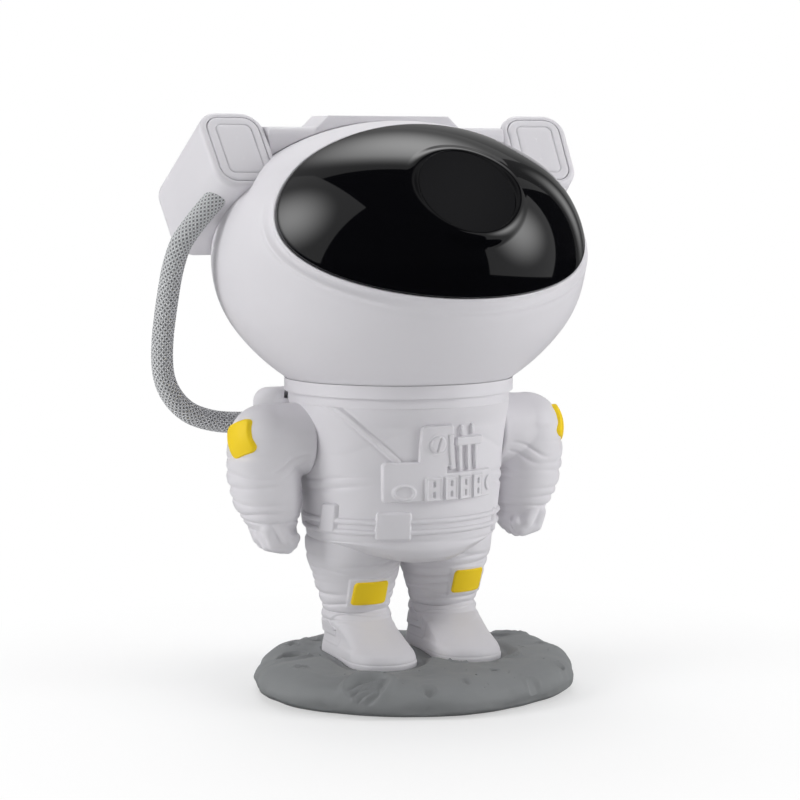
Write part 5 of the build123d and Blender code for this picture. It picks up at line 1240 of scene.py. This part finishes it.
def skin_ahead(u, v):
    """Points of the skin that lie straight ahead of places in the plane of the opening."""
    low, high = np.full(np.shape(u), 5.0), np.full(np.shape(u), 110.0)
    flat = HEAD + u[..., None] * SIDEWAYS + v[..., None] * UPWARD
    for _ in range(40):
        middle = (low + high) / 2
        arm = flat + middle[..., None] * FORWARD - HEAD
        size = np.linalg.norm(arm, axis=-1)
        inside = size < helmet_reach(arm / size[..., None])
        low, high = np.where(inside, middle, low), np.where(inside, high, middle)
    return flat + low[..., None] * FORWARD


print("helmet width:", round(2 * outline[:, 0].max(), 1), "top:", round(outline[-1, 1], 1))

# %% [markdown]
# The real helmet is a thin moulded shell. A ball with a hole cut in it would
# leave a ragged rim, so the rings start at the rim itself: close together where
# the lip is, and wider apart behind. An inner sheet of fewer rings gives the
# shell its thickness.

# %% Helmet skin
OPENING_X, OPENING_Z = 64.7, 40.8
SKIN_FAR = 74
HELMET_THICK = 2.5


def make_helmet():
    """The helmet's skin, from the rim of its opening back round the head."""
    around = 400
    turn = full_turn(around)
    arm = skin_ahead(OPENING_X * np.cos(turn), OPENING_Z * np.sin(turn)) - HEAD
    arm /= np.linalg.norm(arm, axis=1)[:, None]
    rim_angle = np.arccos(arm @ FORWARD)
    heading = np.arctan2(arm @ UPWARD, arm @ SIDEWAYS)
    beside = np.cos(heading)[:, None] * SIDEWAYS + np.sin(heading)[:, None] * UPWARD
    near = np.concatenate([np.arange(0, 2.0, 0.25), np.arange(2.0, 18.1, 0.45)])
    lower = smooth_step(-np.sin(turn), -0.45, 0.2)
    steps = []
    for s in near:
        lip = 0.62 * bump_at(s, 5.3, 1.15) - 0.5 * bump_at(s, 2.3, 1.5) + 0.35 * bump_at(s, 8.6, 3.4)
        steps.append((rim_angle + s / SKIN_FAR, lip * lower - 0.3 * bump_at(s, 0, 0.45)))
    for share in np.linspace(0, 1, 100)[1:]:
        angle = (rim_angle + near[-1] / SKIN_FAR) * (1 - share) + (math.pi - 0.012) * share
        steps.append((angle, np.zeros(around)))
    outer = []
    for angle, lip in steps:
        direction = np.cos(angle)[:, None] * FORWARD + np.sin(angle)[:, None] * beside
        outer.append(HEAD + direction * (helmet_reach(direction) + lip)[:, None])
    outer = np.array(outer)
    count = len(outer)
    near_rows, far_rows = np.arange(0, len(near), 8), np.arange(len(near), count, 4)
    pick = np.unique(np.concatenate([near_rows, far_rows, [count - 1]]))
    out = outer[pick] - HEAD
    inner = HEAD + out * (1 - HELMET_THICK / np.linalg.norm(out, axis=-1, keepdims=True))
    points, faces = closed_stack(np.concatenate([inner[::-1], outer]))
    replaced = ("helmet_front_shell", "helmet_rear_shell")
    return mesh_piece("helmet_skin", points, faces, suit_white, "head", replaced)


helmet = make_helmet()
print("helmet skin:", len(helmet.data.polygons), "faces")

# %% [markdown]
# ## Visor and lens
# The visor follows the helmet's own curve and stands 0.3 mm proud of it. The
# projection lens is a flat round disc in its upper half, so the visor's skin
# bends down to the lens's plane over the last five millimetres. The grid runs
# from the circle of the lens out to the oval rim.

# %% Visor
LENS_MIDDLE = np.array((0.0, -46.0, 195.6))
LENS_UP = math.radians(39.5)
LENS_OUT = np.array((0, -math.cos(LENS_UP), math.sin(LENS_UP)))
LENS_TOP = np.array((0, math.sin(LENS_UP), math.cos(LENS_UP)))
LENS_HOLE_R = 19.15
BEND_NEAR, BEND_FAR = 19.3, 24.5
VISOR_PROUD, VISOR_THICK = 0.3, 2.0


def make_visor():
    """The visor's skin, its rim and its back in one grid round the lens."""
    around, rows = 360, 110
    turn = full_turn(around)
    circle = LENS_MIDDLE + LENS_HOLE_R * (np.cos(turn)[:, None] * SIDEWAYS + np.sin(turn)[:, None] * LENS_TOP)
    inner_u, inner_v = (circle - HEAD) @ SIDEWAYS, (circle - HEAD) @ UPWARD
    a, b = OPENING_X - 0.5, OPENING_Z - 0.5
    v0 = (LENS_MIDDLE - HEAD) @ UPWARD
    c, s = np.cos(turn), np.sin(turn)
    qa, qb, qc = (c / a) ** 2 + (s / b) ** 2, 2 * v0 * s / b**2, (v0 / b) ** 2 - 1
    reach = (-qb + np.sqrt(qb**2 - 4 * qa * qc)) / (2 * qa)
    outer_u, outer_v = reach * c, v0 + reach * s
    share = (np.linspace(0, 1, rows) ** 1.35)[:, None]
    u = inner_u * (1 - share) + outer_u * share
    v = inner_v * (1 - share) + outer_v * share
    skin = skin_ahead(u, v)
    away = skin - HEAD
    away /= np.linalg.norm(away, axis=-1, keepdims=True)
    edge = smooth_step(share, 0.985, 1.0)[..., None]
    skin = skin + away * (VISOR_PROUD - 0.35 * edge)
    above = (skin - LENS_MIDDLE) @ LENS_OUT
    along = skin - LENS_MIDDLE - above[..., None] * LENS_OUT
    settle = 1 - smooth_step(np.linalg.norm(along, axis=-1), BEND_NEAR, BEND_FAR)
    print("visor over the lens's plane at the lens:", above[0].min().round(2), above[0].max().round(2))
    skin = skin - LENS_OUT * (settle * (above + 0.02))[..., None]
    back = skin - away * VISOR_THICK
    rings = np.concatenate([skin, back[::-1][::3], back[:1]])
    count = rings.shape[0]
    faces = [tuple(q) for q in ring_faces(count, around)]
    last = (count - 1) * around
    faces += [(last + i, last + (i + 1) % around, (i + 1) % around, i) for i in range(around)]
    points = rings.reshape(-1, 3)
    return mesh_piece("visor_skin", points, faces, visor_black, "head", ("visor",), "visor_black")


visor = make_visor()
print("visor:", len(visor.data.polygons), "faces")

# %% [markdown]
# ## The pods
# A pod is a long rounded block that looks up and forwards. Its face has a
# flat rim, then a thin groove, and in the groove a cap with a second groove
# round its raised middle. Both are stacks of rounded rectangles along the
# pod's axis, each a little smaller than the one before.

# %% Pods
POD_X, POD_Y, POD_Z = 64.8, 20.0, 211.4
POD_TILT, POD_YAW = math.radians(36), math.radians(7)
POD_HALF_W, POD_HALF_H, POD_CORNER = 14.0, 17.75, 9.0
POD_DEPTH, POD_BACK_ROUND, POD_EDGE_ROUND = 50.0, 5.0, 1.9
CORNER_POINTS = 14
CAP_LOOPS = ((12, 1.3), (6, 1.3), (2.95, 1.3), (2.95, 0.5), (3.0, 0.2), (3.2, -0.1), (3.6, -0.28),
             (4.2, -0.34), (5.6, -0.34), (6.0, -0.26), (6.2, 0.0), (6.3, 0.28), (6.5, 0.28), (6.6, 0.0),
             (6.85, -0.24), (7.3, -0.36), (9, -0.4), (12, -0.42), (13.4, -0.42))


def pod_loop(side, inset, depth):
    """Rounded rectangle across a pod, inset from its outline, at some depth behind its face."""
    across = np.array((math.cos(POD_YAW), -side * math.sin(POD_YAW), 0))
    flat = math.cos(POD_TILT)
    out = np.array((-side * math.sin(POD_YAW) * flat, -math.cos(POD_YAW) * flat, math.sin(POD_TILT)))
    up = np.cross(out, across)
    half_w, half_h = POD_HALF_W - inset, POD_HALF_H - inset
    corner = max(POD_CORNER - inset, min(1.2, half_w))
    points = []
    for k, (sx, sz) in enumerate(((1, 1), (-1, 1), (-1, -1), (1, -1))):
        for a in np.linspace(0, math.pi / 2, CORNER_POINTS) + k * math.pi / 2:
            x = sx * (half_w - corner) + corner * math.cos(a)
            z = sz * (half_h - corner) + corner * math.sin(a)
            points.append(np.array((side * POD_X, POD_Y, POD_Z)) + across * x + up * z - out * depth)
    return np.array(points)


def pod_stack(side, loops):
    """Points and faces of a closed stack of loops across a pod."""
    return closed_stack(np.array([pod_loop(side, inset, depth) for inset, depth in loops]))


def make_pod(name, side, node):
    """One pod with a rounded back, a rounded front edge and a groove for its cap."""
    loops = [(13, POD_DEPTH), (10, POD_DEPTH)]
    for a in np.linspace(0, math.pi / 2, 16):
        loops.append((POD_BACK_ROUND - POD_BACK_ROUND * math.sin(a),
                      POD_DEPTH - POD_BACK_ROUND + POD_BACK_ROUND * math.cos(a)))
    loops += [(0, d) for d in (38, 30, 24, 18, 12, 6, 3, 2.2)]
    for a in np.linspace(0.1, math.pi / 2, 9):
        loops.append((POD_EDGE_ROUND - POD_EDGE_ROUND * math.cos(a),
                      POD_EDGE_ROUND - POD_EDGE_ROUND * math.sin(a)))
    loops += [(2.35, 0.0), (2.55, 0.08), (2.6, 0.3), (2.6, 1.4), (6, 1.4), (12, 1.4)]
    return mesh_piece(name, *pod_stack(side, loops), suit_white, "head", (node,))


def make_pod_caps():
    """The grooved caps of both pods."""
    shells = [pod_stack(side, CAP_LOOPS) for side in (-1, 1)]
    return mesh_piece("pod_cap_faces", *join_lists(shells), suit_white, "head", ("pod_caps",))


right_pod = make_pod("right_pod_shell", -1, "right_pod")
left_pod = make_pod("left_pod_shell", 1, "left_pod")
pod_caps = make_pod_caps()
print("pods:", len(right_pod.data.polygons), "faces each, caps", len(pod_caps.data.polygons))

# %% [markdown]
# ## Finishes on the CAD nodes that stay
# The collar, the backpack, its buttons and everything inside already have the
# right shape, so they only get a finish. The record names a slot for each node,
# and each slot has its own material here.

# %% Finish the CAD nodes
SLOT_FINISH = {
    "suit_white": suit_white, "moon_grey": moon_grey, "patch_yellow": patch_yellow,
    "visor_black": visor_black, "smoked_lens": smoked_lens, "clear_lens": clear_lens,
    "hose_braid": hose_braid, "light_grey": light_grey, "button_grey": button_grey,
    "dark_plastic": dark_plastic, "natural_plastic": natural_plastic,
    "pad_rubber": pad_rubber, "gasket_rubber": gasket_rubber, "ballast_steel": plated_steel,
    "screw_steel": plated_steel, "socket_steel": plated_steel, "motor_steel": plated_steel,
    "magnet_nickel": nickel, "laser_brass": brass, "heatsink_aluminium": aluminium,
    "led_white": lamp_white, "circuit_board": board_green, "nebula_film": film_blue,
}
for part in frame["record"]["subparts"]:
    node = frame["nodes"][part["node"]]
    node.data.materials.clear()
    node.data.materials.append(SLOT_FINISH[part["material_slot"]])

# %% [markdown]
# ## Floor, background and lamps
# The floor is a wide pale sheet. To the camera it glows: half of it does near
# the figure, where the other half takes the soft shadow, and all of it does
# further out, where it runs into the white background. In reflections it is
# nearly black, so that the visor shows no bright ground.

# %% Floor
SHEET_CORNERS = ((-1, -1), (1, -1), (1, 1), (-1, 1))
FLOOR_HALF, FLOOR_Z = 6, -0.0002


def make_floor():
    """The floor with its glow for the camera and its dark image in reflections."""
    mesh = bpy.data.meshes.new("floor")
    corners = [(FLOOR_HALF * x, FLOOR_HALF * y, FLOOR_Z) for x, y in SHEET_CORNERS]
    mesh.from_pydata(corners, [], [(0, 1, 2, 3)])
    floor = placed("floor", mesh)
    material, tree, paper = new_material("floor_white")
    paper["Base Color"].default_value = (0.9, 0.9, 0.9, 1)
    paper["Roughness"].default_value = 0.9
    paper["Specular IOR Level"].default_value = 0.1
    path = add_node(tree, "ShaderNodeLightPath").outputs
    place = add_node(tree, "ShaderNodeTexCoord").outputs["Object"]
    reach = add_node(tree, "ShaderNodeVectorMath", {0: place}, operation="LENGTH").outputs["Value"]
    far = add_node(tree, "ShaderNodeMapRange", {
        "Value": reach, "From Min": 0.08, "From Max": 0.22, "To Min": 0.5, "To Max": 1.0}).outputs[0]
    share = add_node(tree, "ShaderNodeMath", {0: path["Is Camera Ray"], 1: far},
                     operation="MULTIPLY").outputs[0]
    dull = tree.nodes["Principled BSDF"].outputs[0]
    glow = add_node(tree, "ShaderNodeEmission", {"Strength": 1.0}).outputs[0]
    dark = add_node(tree, "ShaderNodeEmission", {"Strength": 0.004}).outputs[0]
    lit = add_node(tree, "ShaderNodeMixShader", {0: share, 1: dull, 2: glow}).outputs[0]
    shown = add_node(tree, "ShaderNodeMixShader", {0: path["Is Glossy Ray"], 1: lit, 2: dark}).outputs[0]
    tree.links.new(shown, tree.nodes["Material Output"].inputs["Surface"])
    mesh.materials.append(material)
    return floor


floor = make_floor()
print("floor at z", floor.data.vertices[0].co.z)

# %% [markdown]
# The world is white to the camera and through glass. Reflections see only a dim
# light, stronger behind the figure, and everything else gets a plain soft light.

# %% World
world = bpy.data.worlds.new("studio")
bpy.context.scene.world = world
world.use_nodes = True
sky = world.node_tree
soft_light = sky.nodes["Background"]
soft_light.inputs["Color"].default_value = (0.97, 0.98, 1.0, 1)
soft_light.inputs["Strength"].default_value = 0.26
ray = add_node(sky, "ShaderNodeLightPath").outputs
heading = add_node(sky, "ShaderNodeTexCoord").outputs["Generated"]
back = add_node(sky, "ShaderNodeSeparateXYZ", {0: heading}).outputs["Y"]
behind = add_node(sky, "ShaderNodeMapRange", {
    "Value": back, "From Min": 0.35, "From Max": 0.95, "To Min": 0.012, "To Max": 0.4}).outputs[0]
white = add_node(sky, "ShaderNodeBackground", {"Color": (1, 1, 1, 1), "Strength": 1.0}).outputs[0]
dim = add_node(sky, "ShaderNodeBackground", {"Color": (1, 1, 1, 1), "Strength": behind}).outputs[0]
glossy = add_node(sky, "ShaderNodeMixShader", {
    0: ray["Is Glossy Ray"], 1: soft_light.outputs[0], 2: dim}).outputs[0]
seen = add_node(sky, "ShaderNodeMath", {0: ray["Is Camera Ray"], 1: ray["Is Transmission Ray"]},
                operation="MAXIMUM").outputs[0]
shown = add_node(sky, "ShaderNodeMixShader", {0: seen, 1: glossy, 2: white}).outputs[0]
sky.links.new(shown, sky.nodes["World Output"].inputs["Surface"])
bpy.context.scene.view_settings.view_transform = "Standard"
print("world strength", soft_light.inputs["Strength"].default_value)

# %% [markdown]
# Four big soft lamps light the figure: overhead, at its right, at its left and
# behind. Nothing mirrors them, because their hard edges would show in the visor.

# %% Lamps


def soft_lamp(name, place, target, width, height, watts):
    """Rectangle of light that faces a point and isn't mirrored."""
    lamp = bpy.data.lights.new(name, "AREA")
    lamp.shape = "RECTANGLE"
    lamp.size, lamp.size_y = width, height
    lamp.energy = watts
    holder = placed(name, lamp)
    holder.location = place
    holder.rotation_euler = (Vector(target) - holder.location).to_track_quat("-Z", "Y").to_euler()
    holder.visible_glossy = False
    return holder


lamps = [
    soft_lamp("overhead", (0.0, 0.1, 1.5), (0, 0, 0.1), 0.8, 0.7, 6),
    soft_lamp("at_its_right", (-1.3, 0.05, 0.6), (0, 0, 0.12), 0.5, 0.8, 9),
    soft_lamp("at_its_left", (1.15, -0.75, 0.55), (0, 0, 0.12), 0.5, 0.8, 10.5),
    soft_lamp("behind", (0.3, 1.1, 1.1), (0, 0, 0.12), 0.8, 0.7, 7),
]
print("lamps:", len(lamps))

# %% [markdown]
# What the visor mirrors instead are soft boxes: sheets of light that fade from
# their middle to their edge, and that only reflections see. Each is placed by
# the direction in which it lies from the visor, as a turn to the figure's left
# and a rise above the horizon.

# %% Soft boxes for the visor
VISOR_MIDDLE = Vector((0.0, -0.04, 0.185))
BOX_FAR = 0.6
SOFT_BOXES = {
    "box_at_its_right": (-102, 29, 0.76, 0.74, 4.6),
    "box_overhead": (151, 57, 1.0, 0.6, 2.8),
    "box_at_its_left": (57, 20, 0.66, 0.76, 4.4),
    "box_behind_left": (120, 14, 0.2, 0.6, 0.9),
    "box_for_the_lens": (65, 62, 0.3, 0.26, 0.24),
}


def make_glow_finish(name, strength):
    """Light that fades from the middle of a sheet to its edge."""
    material, tree, _ = new_material(name)
    tree.nodes.remove(tree.nodes["Principled BSDF"])
    place = add_node(tree, "ShaderNodeTexCoord").outputs["UV"]
    away = add_node(tree, "ShaderNodeVectorMath", {0: place, 1: (0.5, 0.5, 0)}, operation="DISTANCE")
    fade = add_node(tree, "ShaderNodeMapRange", {
        "Value": away.outputs["Value"], "From Min": 0.0, "From Max": 0.42,
        "To Min": strength, "To Max": 0.12 * strength}, interpolation_type="SMOOTHSTEP")
    glow = add_node(tree, "ShaderNodeEmission", {"Color": (1, 1, 1, 1), "Strength": fade.outputs[0]})
    tree.links.new(glow.outputs[0], tree.nodes["Material Output"].inputs["Surface"])
    return material


def soft_box(name, turn, rise, width, height, strength):
    """Sheet of light square to its direction from the visor."""
    turn, rise = math.radians(turn), math.radians(rise)
    heading = Vector((math.sin(turn) * math.cos(rise), -math.cos(turn) * math.cos(rise), math.sin(rise)))
    across = heading.cross(Vector((0, 0, 1))).normalized() * width / 2
    up = across.normalized().cross(heading) * height / 2
    middle = VISOR_MIDDLE + heading * BOX_FAR
    mesh = bpy.data.meshes.new(name)
    mesh.from_pydata([middle + across * a + up * b for a, b in SHEET_CORNERS], [], [(0, 1, 2, 3)])
    flat = mesh.uv_layers.new(name="UVMap")
    for loop, (a, b) in zip(flat.data, SHEET_CORNERS):
        loop.uv = (0.5 + a / 2, 0.5 + b / 2)
    mesh.materials.append(make_glow_finish(name, strength))
    sheet = placed(name, mesh)
    for kind in ("camera", "diffuse", "transmission", "volume_scatter", "shadow"):
        setattr(sheet, "visible_" + kind, False)
    return sheet


soft_boxes = [soft_box(name, *values) for name, values in SOFT_BOXES.items()]
print("soft boxes:", len(soft_boxes))

# %% The json module
import json
